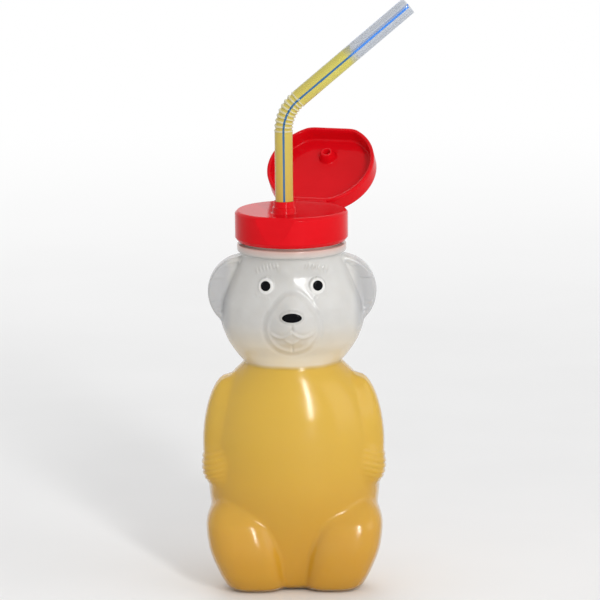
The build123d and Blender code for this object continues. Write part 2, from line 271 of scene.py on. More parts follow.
def smooth_curve(places, values, at):
    """Cubic through the given values that never overshoots: a place's slope is the harmonic mean
    of the two secants beside it, or zero where they differ in sign, and the ends run flat on."""
    steps = np.diff(places)
    secants = np.diff(values) / steps
    product = secants[:-1] * secants[1:]
    total = secants[:-1] + secants[1:]
    inner = np.where(product > 0, 2 * product / np.where(total == 0, 1, total), 0.0)
    slopes = np.concatenate((secants[:1], inner, secants[-1:]))
    at = np.clip(at, places[0], places[-1])
    low = np.clip(np.searchsorted(places, at, side="right") - 1, 0, len(steps) - 1)
    step = steps[low]
    t = (at - places[low]) / step
    rise = t * t * (3 - 2 * t)
    start, end = values[low], values[low + 1]
    bulge = step * t * (1 - t) * (slopes[low] * (1 - t) - slopes[low + 1] * t)
    return start + (end - start) * rise + bulge


def smooth_step(low, high, at):
    """Zero up to low, one from high on, and an S curve between them."""
    t = np.clip((at - low) / (high - low), 0.0, 1.0)
    return t * t * (3 - 2 * t)


def window(at, opening, closing):
    """S curve from zero to one over the first span, and from one to zero over the second."""
    return smooth_step(*opening, at) * (1 - smooth_step(*closing, at))


def ridge(distance, half_width):
    """Round-topped ridge: one on its line, falling as a bell to nothing beside it."""
    return np.exp(-((distance / half_width) ** 2))


def soft_union(first, second, blend):
    """The lesser of two fields, with the corner between them filled over the blend's width."""
    share = np.clip(0.5 + 0.5 * (second - first) / blend, 0.0, 1.0)
    return second * (1 - share) + first * share - blend * share * (1 - share)


def soft_common(first, second, blend):
    """The greater of two fields, with the edge between them rounded over the blend's width."""
    return -soft_union(-first, -second, blend)


def oval_field(x, y, half_width, half_depth):
    """About how far a point lies outside a level oval, less than zero inside it."""
    return (np.hypot(x / half_width, y / half_depth) - 1) * np.minimum(half_width, half_depth)


def limb_field(x, y, z, middle, radius, half_length, lean):
    """About how far a point lies outside an egg whose long axis leans sideways."""
    turn = math.radians(lean)
    run, rise = x - middle[0], z - middle[2]
    across = run * math.cos(turn) - rise * math.sin(turn)
    along = run * math.sin(turn) + rise * math.cos(turn)
    level = (across / radius) ** 2 + ((y - middle[1]) / radius) ** 2
    return (np.sqrt(level + (along / half_length) ** 2) - 1) * radius


def torso_field(x, y, z):
    """Torso: level ovals whose sizes follow the torso's table, closed at the chin and underneath."""
    places = np.append(TORSO_SHARES[:, 0], 1.0) * TORSO_HEIGHT
    widths = np.append(TORSO_SHARES[:, 1] * TORSO_HALF[0], CHIN_HALF[0])
    depths = np.append(TORSO_SHARES[:, 2] * TORSO_HALF[1], CHIN_HALF[1])
    sides = oval_field(x, y, smooth_curve(places, widths, z), smooth_curve(places, depths, z))
    closed = soft_common(sides, TORSO_LIFT - z, FOOT_ROUND)
    return np.maximum(closed, z - TORSO_HEIGHT)


def head_field(x, y, z):
    """Head: level ovals from the chin to the round foot of the neck."""
    places = TORSO_HEIGHT + np.concatenate(((0.0,), HEAD_SHARES[:, 0], (1.0,))) * HEAD_HEIGHT
    widths = np.concatenate(((CHIN_HALF[0],), HEAD_SHARES[:, 1] * HEAD_HALF[0], (NECK_ROOT,)))
    depths = np.concatenate(((CHIN_HALF[1],), HEAD_SHARES[:, 1] * HEAD_HALF[1], (NECK_ROOT,)))
    sides = oval_field(x, y, smooth_curve(places, widths, z), smooth_curve(places, depths, z))
    return np.maximum(sides, TORSO_HEIGHT - z)


def leg_field(x, y, z):
    """Both legs, folded to one side: level ovals with full corners, powers instead of squares,
    whose place and size follow the leg's table."""
    places = LEG_SHARES[:, 0] * LEG_HEIGHT
    spread = smooth_curve(places, LEG_SHARES[:, 1] * LEG_SPREAD, z)
    forward = smooth_curve(places, LEG_SHARES[:, 2] * LEG_FORWARD, z)
    size = smooth_curve(places, LEG_SHARES[:, 3], z)
    across = np.abs((np.abs(x) - spread) / (size * LEG_HALF[0]))
    deep = np.abs((y + forward) / (size * LEG_HALF[1]))
    reach = (across**LEG_FULLNESS + deep**LEG_FULLNESS) ** (1 / LEG_FULLNESS)
    closed = soft_common((reach - 1) * size * LEG_HALF[0], -z, FOOT_ROUND)
    return soft_common(closed, z - LEG_HEIGHT, FOOT_ROUND)


def ear_field(x, y, z):
    """Both ears, folded to one side: a round-edged upright disc with a sunk front."""
    across = np.hypot(np.abs(x) - EAR_MIDDLE[0], z - EAR_MIDDLE[1])
    rim = across - EAR_RADIUS + EAR_ROUND
    face = np.abs(y) - EAR_HALF_THICKNESS + EAR_ROUND
    outside = np.hypot(np.maximum(rim, 0), np.maximum(face, 0))
    disc = outside + np.minimum(np.maximum(rim, face), 0) - EAR_ROUND
    sunk = np.maximum(across - EAR_RADIUS + EAR_RIM, y + EAR_HALF_THICKNESS - EAR_RECESS)
    return soft_common(disc, -sunk, EAR_RIM_ROUND)


def muzzle_field(x, y, z):
    """Muzzle: a pear of level ovals that stands out of the face."""
    places = MUZZLE_BOTTOM + MUZZLE_SHARES[:, 0] * MUZZLE_HEIGHT
    half_width = smooth_curve(places, MUZZLE_SHARES[:, 1] * MUZZLE_HALF[0], z)
    half_depth = smooth_curve(places, MUZZLE_SHARES[:, 2] * MUZZLE_HALF[1], z)
    sides = oval_field(x, y + MUZZLE_FORWARD, half_width, half_depth)
    ends = np.maximum(MUZZLE_BOTTOM - z, z - MUZZLE_BOTTOM - MUZZLE_HEIGHT)
    return soft_common(sides, ends, MUZZLE_ROUND)


def eye_outward(side):
    """Direction in which an eye looks: turned out to its side and tipped up."""
    yaw, pitch = math.radians(EYE_YAW), math.radians(EYE_PITCH)
    level = math.cos(pitch)
    return np.array((side * math.sin(yaw) * level, -math.cos(yaw) * level, math.sin(pitch)))


def eye_ring_field(x, y, z):
    """Both eyes' raised rings, folded to one side: a short round boss along the eye's direction."""
    outward = eye_outward(1)
    offset = (np.abs(x) - EYE_PLACE[0], y - EYE_PLACE[1], z - EYE_PLACE[2])
    depth = offset[0] * outward[0] + offset[1] * outward[1] + offset[2] * outward[2]
    squared = offset[0] ** 2 + offset[1] ** 2 + offset[2] ** 2 - depth**2
    boss = soft_common(np.sqrt(np.maximum(squared, 0)) - EYE_RING_RADIUS, depth, EYE_RING_ROUND)
    return np.maximum(boss, -depth - EYE_RING_RADIUS)


def nose_pad_field(x, y, z):
    """Raised oval pad that the nose is printed on."""
    sides = oval_field(x, z - NOSE_HEIGHT, *NOSE_PAD_HALF)
    pad = soft_common(sides, -NOSE_DEPTH - y, NOSE_PAD_ROUND)
    return np.maximum(pad, y + MUZZLE_FORWARD)


def bear_field(x, y, z):
    """About how far a point lies outside the bear: all its forms, each joined with its own fillet."""
    folded = np.abs(x)
    arms = limb_field(folded, y, z, ARM_MIDDLE, ARM_RADIUS, ARM_HALF_LENGTH, -ARM_SPLAY)
    paws = limb_field(folded, y, z, PAW_MIDDLE, PAW_RADIUS, PAW_HALF_LENGTH, 0)
    field = torso_field(x, y, z)
    for form, fillet in (
        (head_field(x, y, z), CHIN_FILLET),
        (leg_field(x, y, z), LEG_FILLET),
        (soft_union(arms, paws, PAW_FILLET), ARM_FILLET),
        (ear_field(x, y, z), EAR_FILLET),
        (muzzle_field(x, y, z), MUZZLE_FILLET),
        (eye_ring_field(x, y, z), EYE_RING_FILLET),
        (nose_pad_field(x, y, z), NOSE_PAD_FILLET),
    ):
        field = soft_union(field, form, fillet)
    dish = np.maximum(oval_field(x, y, *PUSH_UP_HALF), z - PUSH_UP)
    return soft_common(np.maximum(field, -z), -dish, PUSH_UP_ROUND)


# Rays and grids

# Columns round the bear: counts over the front, each side and the back
FRONT_COLUMNS = 148
SIDE_COLUMNS = 52
BACK_COLUMNS = 36
# Half length of the upright sheet that the rays leave from, by height
SHEET_HEIGHTS = np.array((0.0, 14.0, 50.0, 74.0, 83.0, 92.0, 103.0, 114.0, 123.0))
SHEET_HALVES = np.array((8.0, 14.0, 16.0, 13.0, 9.0, 16.0, 21.0, 20.0, 9.0))
SHEET_FULL = 21.0
BASE_PIVOT = 14.0
RAY_REACH = 42.0
RAY_STEPS = 84
RAY_HALVINGS = 18
# Rows up the outside, the inside and the drink: spans of height with the step between rows
OUTER_SPANS = (
    (BASE_PIVOT, 38.0, 0.85),
    (38.0, 56.0, 0.48),
    (56.0, 81.5, 0.9),
    (81.5, 85.0, 0.32),
    (85.0, 88.0, 0.6),
    (88.0, NECK_ROOT_HEIGHT, 0.4),
)
INNER_SPANS = (
    (120.6, 85.5, -2.6),
    (85.0, 81.4, -0.7),
    (80.0, BASE_PIVOT, -3.2),
)
DRINK_SPANS = (
    (BASE_PIVOT, 78.0, 1.1),
    (78.0, DRINK_LEVEL, 0.4),
)
THREAD_ROW_STEP = 0.4
BORE_HEIGHTS = (134.0, 130.0, 126.0, 123.4, 122.0)
# Tips of the underside's rays in degrees, just off straight down and just under level
TIP_DOWN = 89.5
TIP_LEVEL = 4.0


def spaced(spans):
    """Heights from the first to the last of each span, a step apart."""
    return np.concatenate([np.arange(*span) for span in spans])


def column_rays(half):
    """Where each column's ray starts on the upright sheet, and its direction.
    With no sheet the rays leave the axis evenly, and with a full sheet the front and back
    ones run straight out of its faces while the side ones fan round its two edges."""
    counts = (FRONT_COLUMNS / 2, SIDE_COLUMNS, BACK_COLUMNS, SIDE_COLUMNS, FRONT_COLUMNS / 2)
    knots = np.concatenate(((0.0,), np.cumsum(counts)))
    column = np.arange(int(knots[-1]))
    even = np.interp(column, knots, np.radians((-90, -30, 30, 150, 210, 270)))
    fanned = np.interp(column, knots, np.radians((-90, -90, 90, 90, 270, 270)))
    place = np.interp(column, knots, (0, 1, 1, -1, -1, 0))
    share = (half / SHEET_FULL)[:, None]
    angle = even * (1 - share) + fanned * share
    return half[:, None] * place, np.cos(angle), np.sin(angle)


def cast_rays(origin, direction, level):
    """Outermost point of each ray where the bear's field has the given level: the ray is walked
    inwards in even steps, and the step that meets the form is halved."""
    outer = np.full(origin[0].shape, RAY_REACH)
    inner = np.zeros(origin[0].shape)
    found = np.zeros(origin[0].shape, bool)
    for step in range(1, RAY_STEPS + 1):
        reach = RAY_REACH * (1 - step / RAY_STEPS)
        points = [start + heading * reach for start, heading in zip(origin, direction)]
        met = (bear_field(*points) < level) & ~found
        inner = np.where(met, reach, inner)
        outer = np.where(met, reach + RAY_REACH / RAY_STEPS, outer)
        found |= met
    for _ in range(RAY_HALVINGS):
        middle = (inner + outer) / 2
        points = [start + heading * middle for start, heading in zip(origin, direction)]
        within = bear_field(*points) < level
        inner = np.where(within, middle, inner)
        outer = np.where(within, outer, middle)
    return np.stack([start + heading * inner for start, heading in zip(origin, direction)], axis=-1)


def side_rows(heights, level):
    """Level rows of the bear's side at the given heights."""
    start, cosine, sine = column_rays(smooth_curve(SHEET_HEIGHTS, SHEET_HALVES, heights))
    height = np.broadcast_to(heights[:, None], start.shape)
    zero = np.zeros_like(start)
    return cast_rays((start, zero, height), (cosine, sine, zero), level)


def base_rows(tilts, level):
    """Rows of the bear's underside: rays from inside the bear that tip from level to straight down."""
    half = smooth_curve(SHEET_HEIGHTS, SHEET_HALVES, BASE_PIVOT) * np.cos(tilts)
    start, cosine, sine = column_rays(half)
    lean = np.cos(tilts)[:, None]
    height = np.full(start.shape, BASE_PIVOT)
    down = np.broadcast_to(-np.sin(tilts)[:, None], start.shape)
    return cast_rays((start, np.zeros_like(start), height), (cosine * lean, sine * lean, down), level)


def neck_rows(profile):
    """Rows of the round neck: each column's ray is stopped at the profile's radius and height."""
    half = np.full(len(profile), SHEET_HALVES[-1])
    start, cosine, sine = column_rays(half)
    radius = profile[:, :1]
    reach = -start * cosine + np.sqrt(radius**2 - (start * sine) ** 2)
    height = np.broadcast_to(profile[:, 1:], start.shape)
    return np.stack((start + reach * cosine, reach * sine, height), axis=-1)


def make_mesh(name, vertices, faces, uv=None):
    """Mesh object at the origin from millimetre vertices and a list of corner arrays."""
    mesh = bpy.data.meshes.new(name)
    counts = np.concatenate([np.full(len(part), part.shape[1]) for part in faces])
    corners = np.concatenate([part.ravel() for part in faces])
    mesh.vertices.add(len(vertices))
    mesh.vertices.foreach_set("co", (vertices * MM).astype(np.float32).ravel())
    mesh.loops.add(len(corners))
    mesh.loops.foreach_set("vertex_index", corners.astype(np.int32))
    mesh.polygons.add(len(counts))
    starts = np.concatenate(((0,), np.cumsum(counts)[:-1]))
    mesh.polygons.foreach_set("loop_start", starts.astype(np.int32))
    if uv is not None:
        layer = mesh.uv_layers.new(name="UVMap")
        layer.data.foreach_set("uv", uv.astype(np.float32).ravel())
    mesh.update(calc_edges=True)
    mesh.validate()
    mesh.polygons.foreach_set("use_smooth", np.ones(len(mesh.polygons), bool))
    piece = bpy.data.objects.new(name, mesh)
    bpy.context.scene.collection.objects.link(piece)
    return piece


def ring_faces(rows, columns, offset=0):
    """Corner numbers of the quads between neighbouring rings, each ring closed on itself."""
    row, column = np.meshgrid(np.arange(rows - 1), np.arange(columns), indexing="ij")
    after = (column + 1) % columns
    quads = np.stack((row * columns + column, row * columns + after,
                      (row + 1) * columns + after, (row + 1) * columns + column), axis=-1)
    return quads.reshape(-1, 4) + offset


def closed_rings(name, rings):
    """Closed skin through rings whose first and last are shut by a fan to their middle points."""
    rows, columns = rings.shape[:2]
    poles = np.stack((rings[0].mean(axis=0), rings[-1].mean(axis=0)))
    vertices = np.concatenate((rings.reshape(-1, 3), poles))
    column = np.arange(columns)
    after = (column + 1) % columns
    first, last = rows * columns, rows * columns + 1
    base = (rows - 1) * columns
    start_fan = np.stack((np.full(columns, first), after, column), axis=-1)
    end_fan = np.stack((np.full(columns, last), base + column, base + after), axis=-1)
    return make_mesh(name, vertices, (ring_faces(rows, columns), start_fan, end_fan))


def looped_rings(name, rings, uv_rings=None):
    """Closed skin through rings whose last is joined to the first, such as a tube with its bore."""
    rows, columns = rings.shape[:2]
    quads = ring_faces(rows + 1, columns) % (rows * columns)
    uv = None
    if uv_rings is not None:
        row, column = np.meshgrid(np.arange(rows), np.arange(columns), indexing="ij")
        below = np.append(uv_rings, uv_rings[-1])
        around = np.stack((column, column + 1, column + 1, column), axis=-1) / columns
        height = np.stack((below[row], below[row], below[row + 1], below[row + 1]), axis=-1)
        uv = np.stack((around, height), axis=-1).reshape(-1, 2)
    return make_mesh(name, rings.reshape(-1, 3), (quads,), uv)


def line_inside(piece, columns, first_row, rows, material):
    """Gives the faces between rings from first_row on, and the fan that ends them, a material of
    their own: the skin's inner face."""
    piece.data.materials.append(material)
    index = np.zeros(len(piece.data.polygons), np.int32)
    index[first_row * columns:] = 1
    index[rows * columns:(rows + 1) * columns] = 0
    piece.data.polygons.foreach_set("material_index", index)


def arc(centre, radius, start, end, count):
    """Points (reach, height) along an arc, its angles in degrees from the outward level."""
    angle = np.radians(np.linspace(start, end, count))
    return np.stack((centre[0] + radius * np.cos(angle), centre[1] + radius * np.sin(angle)), axis=-1)


def upright_line(reach, heights):
    """Points (reach, height) at one reach."""
    return np.stack((np.full(len(heights), reach), heights), axis=-1)


def level_line(reaches, height):
    """Points (reach, height) at one height."""
    return np.stack((reaches, np.full(len(reaches), height)), axis=-1)


# Skin of the bear

# Brow and lash strokes: count, first place from the middle, spread, height, rise along the row,
# power of that rise, lean and half height
BROW_STROKES = (7, 5.2, 7.4, 120.6, -1.9, 2, 0.25, 0.9)
BROW_RELIEF = 0.62
LASH_STROKES = (5, 8.4, 4.2, 109.4, 0.9, 1, 0.5, 0.7)
LASH_RELIEF = 0.34
STROKE_HALF_WIDTH = 0.34
# Swells of the brow: place from the middle, height, both half sizes and relief
BROW_SWELLS = (
    (0.0, 116.2, 2.2, 2.4, 0.38),
    (3.4, 119.4, 1.7, 1.5, 0.34),
)
# Upper lip: a hanging arc on each side, with a hollow over it
LIP_MIDDLE = 4.3
LIP_BOTTOM = 95.5
LIP_CURVE = 0.125
LIP_HALF_WIDTH = 0.55
LIP_RELIEF = 0.55
LIP_END = (7.0, 8.2)
HOLLOW_RISE = 1.2
HOLLOW_RELIEF = 0.30
HOLLOW_END = (5.5, 7.4)
# Lower lip, and the upright lines under the nose and on the chin: their spans, width and relief
LOWER_LIP_BOTTOM = 93.2
LOWER_LIP_SLOPE = 0.55
LOWER_LIP_HALF_WIDTH = 0.6
LOWER_LIP_RELIEF = 0.36
LOWER_LIP_END = (2.2, 3.4)
UPRIGHT_LINES = (
    ((97.0, 98.2), (100.2, 101.2), 0.42, 0.45),
    ((89.2, 90.4), (92.4, 93.2), 0.38, 0.42),
)
# Pear round the muzzle: height and radius of its two circles, and its step, rim and hollow
PEAR_LOW = (98.7, 9.5)
PEAR_HIGH = (107.0, 3.7)
PEAR_BLEND = 5.0
PEAR_EDGE = 0.7
PEAR_STEP = 0.48
PEAR_RIM = 0.30
PEAR_HOLLOW = 0.22
PEAR_HOLLOW_REACH = 1.2
PEAR_HOLLOW_HALF_WIDTH = 0.6
# Where the face's lines fade, back from the face and down to the chin
FACE_FRONT = (-13.0, -10.0)
FACE_BOTTOM = (86.0, 88.5)
EYE_CLEAR = 0.8
NOSE_CLEAR = 0.8
# Fingers: slant, sharpness and sink of their waves, where they fade, and which way they stand out
FINGER_SLANT = 0.35
FINGER_SHARPNESS = 0.7
FINGER_SINK = 0.6
FINGER_ENDS = ((-0.6, 0.2), (FINGER_COUNT - 0.2, FINGER_COUNT + 0.6))
FINGER_BACK = (-5.0, 1.0)
FINGER_INNER = (24.5, 27.0)
FINGER_OUTWARD = (0.8, 0.6)
# Parting line of the mould up both sides
PARTING_RELIEF = 0.10
PARTING_HALF_WIDTH = 0.32
PARTING_START = (10.0, 16.0)


def strokes(side, z, count, first, spread, height, rise, power, lean, half_height):
    """Row of short leaning ridges, evenly spread from the first, whose heights follow a power of
    their share of the row."""
    relief = np.zeros_like(side)
    for share in np.linspace(0.0, 1.0, count):
        above = z - height - rise * share**power
        across = side - first - spread * share - lean * above
        relief += ridge(across, STROKE_HALF_WIDTH) * ridge(above, half_height)
    return relief


def mouth_relief(side, z):
    """Split upper lip of two hanging arcs with a hollow over each, the lower lip that rises from
    the middle, and the two upright lines cut between and under them."""
    over_lip = z - LIP_BOTTOM - LIP_CURVE * (side - LIP_MIDDLE) ** 2
    relief = LIP_RELIEF * ridge(over_lip, LIP_HALF_WIDTH) * (1 - smooth_step(*LIP_END, side))
    hollow = ridge(over_lip - HOLLOW_RISE, LIP_HALF_WIDTH)
    relief -= HOLLOW_RELIEF * hollow * (1 - smooth_step(*HOLLOW_END, side))
    lower = ridge(z - LOWER_LIP_BOTTOM - LOWER_LIP_SLOPE * side, LOWER_LIP_HALF_WIDTH)
    relief += LOWER_LIP_RELIEF * lower * (1 - smooth_step(*LOWER_LIP_END, side))
    for opening, closing, half_width, depth in UPRIGHT_LINES:
        relief -= depth * ridge(side, half_width) * window(z, opening, closing)
    return relief


def face_relief(x, z):
    """Height of the face's raised lines: brows and lashes of short strokes, the mouth, the step
    round a pear of two joined circles, and the soft swells of the brow."""
    side = np.abs(x)
    relief = BROW_RELIEF * strokes(side, z, *BROW_STROKES)
    relief += LASH_RELIEF * strokes(side, z, *LASH_STROKES)
    relief += mouth_relief(side, z)
    circles = [np.hypot(x, z - height) - radius for height, radius in (PEAR_LOW, PEAR_HIGH)]
    pear = soft_union(*circles, PEAR_BLEND)
    relief += PEAR_STEP * (1 - smooth_step(-PEAR_EDGE, PEAR_EDGE, pear))
    relief += PEAR_RIM * ridge(pear + PEAR_EDGE, PEAR_EDGE)
    relief -= PEAR_HOLLOW * ridge(pear - PEAR_HOLLOW_REACH, PEAR_HOLLOW_HALF_WIDTH)
    for place, height, half_width, half_height, rise in BROW_SWELLS:
        relief += rise * ridge(side - place, half_width) * ridge(z - height, half_height)
    return relief


def finger_relief(points):
    """Ridges of the fingers: equal waves up the outer face of each paw, fading at its ends."""
    x, y, z = points[..., 0], points[..., 1], points[..., 2]
    side = np.abs(x)
    phase = (z - FINGER_BOTTOM + FINGER_SLANT * (side - PAW_MIDDLE[0])) / FINGER_PITCH
    wave = np.abs(np.sin(math.pi * phase)) ** FINGER_SHARPNESS - FINGER_SINK
    faded = window(phase, *FINGER_ENDS) * (1 - smooth_step(*FINGER_BACK, y))
    return FINGER_RELIEF * wave * faded * smooth_step(*FINGER_INNER, side)


def raise_relief(points):
    """The skin's rows with the face's lines raised towards the front, and the fingers and the
    mould's parting line sideways."""
    x, y, z = points[..., 0], points[..., 1], points[..., 2]
    side = np.abs(x)
    on_face = (1 - smooth_step(*FACE_FRONT, y)) * smooth_step(*FACE_BOTTOM, z)
    eye_distance = np.hypot(side - EYE_PLACE[0], z - EYE_PLACE[2])
    off_eyes = 1 - ridge(eye_distance, EYE_RING_RADIUS * EYE_CLEAR)
    off_nose = smooth_step(0.0, NOSE_CLEAR, oval_field(x, z - NOSE_HEIGHT, *NOSE_PAD_HALF))
    fingers = finger_relief(points)
    parting = PARTING_RELIEF * ridge(y, PARTING_HALF_WIDTH) * smooth_step(*PARTING_START, side)
    lifted = points.copy()
    lifted[..., 0] += np.sign(x) * (fingers * FINGER_OUTWARD[0] + parting)
    lifted[..., 1] -= face_relief(x, z) * on_face * off_eyes * off_nose + fingers * FINGER_OUTWARD[1]
    return lifted


def thread_relief(points):
    """Screw thread: a ridge whose height rises by one pitch in each turn, fading at both ends."""
    angle = np.arctan2(points[..., 1], points[..., 0]) % (2 * math.pi)
    relief = np.zeros_like(angle)
    for turn in range(math.ceil(THREAD_TURNS)):
        along = turn + angle / (2 * math.pi)
        gap = points[..., 2] - THREAD_BOTTOM - THREAD_PITCH * along
        shape = 1 - smooth_step(THREAD_CREST, 1.0, np.abs(gap) / THREAD_HALF_WIDTH)
        ends = window(along, (0.0, THREAD_RUN_OUT), (THREAD_TURNS - THREAD_RUN_OUT, THREAD_TURNS))
        relief = np.maximum(relief, THREAD_RELIEF * shape * ends)
    return relief


def neck_profile():
    """Radius and height of the neck's outside in three stretches: the bead, the plain neck that
    takes the thread, and the lip, which turns over into the bore."""
    bead = np.concatenate((
        ((NECK_ROOT, NECK_ROOT_HEIGHT + 0.2), (NECK_ROOT + 0.25, BEAD_BOTTOM - 0.15)),
        arc((BEAD_RADIUS - BEAD_BOTTOM_ROUND, BEAD_BOTTOM + 0.95), BEAD_BOTTOM_ROUND, -75, 0, 5),
        arc((BEAD_RADIUS - BEAD_TOP_ROUND, BEAD_TOP - BEAD_TOP_ROUND), BEAD_TOP_ROUND, 0, 90, 4),
        ((NECK_RADIUS + 0.2, BEAD_TOP + 0.02),),
    ))
    thread = upright_line(NECK_RADIUS, np.arange(BEAD_TOP + 0.3, LIP_HEIGHT - 0.8, THREAD_ROW_STEP))
    round_height = LIP_HEIGHT - NECK_LIP_ROUND
    lip = np.concatenate((
        arc((NECK_RADIUS - NECK_LIP_ROUND, round_height), NECK_LIP_ROUND, 0, 90, 4),
        arc((NECK_BORE + NECK_LIP_ROUND, round_height), NECK_LIP_ROUND, 90, 180, 4),
    ))
    return bead, thread, lip


def bear_rings():
    """All rows of the bottle's skin: from the middle of the base up the outside, over the lip,
    and down the inside to the middle of its floor. The count of the rows outside comes second."""
    tilts = np.radians(np.concatenate((np.linspace(TIP_DOWN, 62, 12), np.linspace(60, TIP_LEVEL, 28))))
    outside = raise_relief(np.concatenate((base_rows(tilts, 0.0), side_rows(spaced(OUTER_SPANS), 0.0))))
    bead, thread, lip = neck_profile()
    thread_rows = neck_rows(thread)
    spread = 1 + thread_relief(thread_rows) / NECK_RADIUS
    thread_rows[..., :2] *= spread[..., None]
    neck = np.concatenate((neck_rows(bead), thread_rows, neck_rows(lip)))
    bore = neck_rows(upright_line(NECK_BORE, BORE_HEIGHTS))
    inner_tilts = np.radians(np.linspace(0, TIP_DOWN, 14))
    inside = np.concatenate((side_rows(spaced(INNER_SPANS), -WALL), base_rows(inner_tilts, -WALL)))
    return np.concatenate((outside, neck, bore, inside)), len(outside) + len(neck)


def drink_rings():
    """Rows of the drink: up the wall to the level, over the meniscus to the straw, and down
    round the straw to its foot, so that the straw stands in a well."""
    level = -WALL - DRINK_GAP
    tilts = np.radians(np.linspace(TIP_DOWN, TIP_LEVEL, 26))
    wall = np.concatenate((base_rows(tilts, level), side_rows(spaced(DRINK_SPANS), level)))
    rim = wall[-1]
    around = np.arctan2(rim[:, 1] - SPOUT[1], rim[:, 0] - SPOUT[0])
    circle = np.stack((np.cos(around), np.sin(around), np.zeros_like(around)), axis=-1)
    well = SPOUT + circle * (STRAW_RADIUS + WELL_GAP)
    shares = np.array((0.0, 0.03, 0.08, 0.16, 0.3, 0.5, 0.7, 0.86, 0.95, 1.0))
    rise = MENISCUS * (ridge(shares, 0.09) + 0.5 * ridge(1 - shares, 0.06))
    top = rim[None] * (1 - shares[:, None, None]) + well[None] * shares[:, None, None]
    top[..., 2] = (DRINK_LEVEL - 0.5 * MENISCUS + rise)[:, None]
    depth = np.array((DRINK_LEVEL - 3.0, 60.0, 40.0, 20.0, 4.0, STRAW_FOOT - 0.1))
    shaft = np.repeat(well[None], len(depth), axis=0)
    shaft[..., 2] = depth[:, None]
    bottom = shaft[-1:].copy()
    bottom[..., :2] = SPOUT[:2] + (bottom[..., :2] - SPOUT[:2]) * 0.3
    return np.concatenate((wall, top, shaft, bottom))


# Cap and lid

def turned_ring(reach, height, centre_share, columns):
    """Rings about centres that slide from the bottle's axis to the spout by centre_share."""
    angle = 2 * math.pi * np.arange(columns) / columns
    ring = np.stack((np.cos(angle), np.sin(angle)), axis=-1)
    level = centre_share[:, None, None] * SPOUT[:2] + reach[:, None, None] * ring
    tall = np.broadcast_to(height[:, None, None], (*level.shape[:2], 1))
    return np.concatenate((level, tall), axis=-1)


def cap_rings(columns=288):
    """Rows of the cap: up the skirt, over the bevelled shoulder, in across the deck to the spout,
    up its two tiers, down its bore, out under the deck and down the inside to the foot."""
    deck_edge = CAP_RADIUS - CAP_BEVEL
    skirt_top = DECK_TOP - CAP_BEVEL
    foot = (
        (deck_edge - 0.1, CAP_BOTTOM), (deck_edge, CAP_BOTTOM + 0.12),
        (CAP_RADIUS - 0.55 * CAP_BEVEL, CAP_BOTTOM + 0.62), (CAP_RADIUS - 0.08, CAP_BOTTOM + 1.27),
    )
    skirt = upright_line(CAP_RADIUS, np.concatenate((
        np.linspace(CAP_BOTTOM + 1.42, LEDGE_HEIGHT - 0.04, 24), (LEDGE_HEIGHT + 0.04,),
        np.linspace(LEDGE_HEIGHT + 0.25, skirt_top - 0.1, 3),
    )))
    shoulder = (
        (CAP_RADIUS - 0.06, skirt_top + 0.06), (CAP_RADIUS - CAP_BEVEL / 2, DECK_TOP - CAP_BEVEL / 2),
        (deck_edge + 0.06, DECK_TOP - 0.06), (deck_edge - 0.1, DECK_TOP),
    )
    outside = np.concatenate((foot, skirt, shoulder))
    deck_share = np.linspace(0.02, 1.0, 14)
    deck_start = deck_edge - 0.3
    deck = level_line(deck_start + (SPOUT_RADIUS + 0.5 - deck_start) * deck_share, DECK_TOP)
    top = DECK_TOP + SPOUT_HEIGHT
    step = DECK_TOP + SPOUT_STEP_HEIGHT
    step_fillet = (SPOUT_STEP_RADIUS + SPOUT_STEP_FILLET, step + SPOUT_STEP_FILLET)
    spout = np.concatenate((
        arc((SPOUT_RADIUS + SPOUT_FILLET, DECK_TOP + SPOUT_FILLET), SPOUT_FILLET, 250, 190, 4),
        arc((SPOUT_RADIUS - SPOUT_EDGE, step - SPOUT_EDGE), SPOUT_EDGE, 0, 90, 4),
        arc(step_fillet, SPOUT_STEP_FILLET, 250, 190, 3),
        arc((SPOUT_STEP_RADIUS - SPOUT_EDGE, top - SPOUT_EDGE), SPOUT_EDGE, 0, 90, 4),
        ((SPOUT_BORE + 0.08, top), (SPOUT_BORE, top - 0.1)),
        ((SPOUT_BORE, step), (SPOUT_BORE, DECK_BOTTOM + 0.05)),
    ))
    under_share = np.linspace(1.0, 0.0, 6)
    under = level_line(LAND_RADIUS + (SPOUT_BORE + 0.1 - LAND_RADIUS) * under_share, DECK_BOTTOM)
    land = DECK_BOTTOM - LAND_DEPTH
    inside = np.array((
        (LAND_RADIUS, DECK_BOTTOM - 0.1), (LAND_RADIUS, land + 0.1), (LAND_RADIUS + 0.1, land),
        (THREAD_SPACE - 0.1, land), (THREAD_SPACE, land - 0.1), (THREAD_SPACE, 131.0),
        (THREAD_SPACE, CAP_BOTTOM + 0.1), (THREAD_SPACE + 0.1, CAP_BOTTOM),
    ))
    profile = np.concatenate((outside, deck, spout, under, inside))
    share = np.concatenate((
        np.zeros(len(outside)), deck_share, np.ones(len(spout)), under_share, np.zeros(len(inside)),
    ))
    rings = turned_ring(profile[:, 0], profile[:, 1], share, columns)
    outer = np.zeros(len(profile), bool)
    outer[:len(outside) + 2] = True
    return cut_cap(rings, outer)


def cut_cap(rings, outer):
    """The cap's outer rows with the thumb scoop at the front and the hinge's notch at the back:
    past a plane, a point moves straight in to it, and the scoop's edge is softened."""
    reach = rings[..., 0] * BACK[0] + rings[..., 1] * BACK[1]
    height = rings[..., 2]
    scoop = -SCOOP_TOP - SCOOP_SLOPE * (DECK_TOP - height)
    cut = soft_common(reach, scoop, SCOOP_EDGE)
    notch = np.where(height > LEDGE_HEIGHT, NOTCH_REACH, CAP_RADIUS + 1)
    cut = np.minimum(cut, notch)
    shift = np.where(outer[:, None], cut - reach, 0.0)
    moved = rings.copy()
    moved[..., :2] += shift[..., None] * BACK[:2]
    return moved


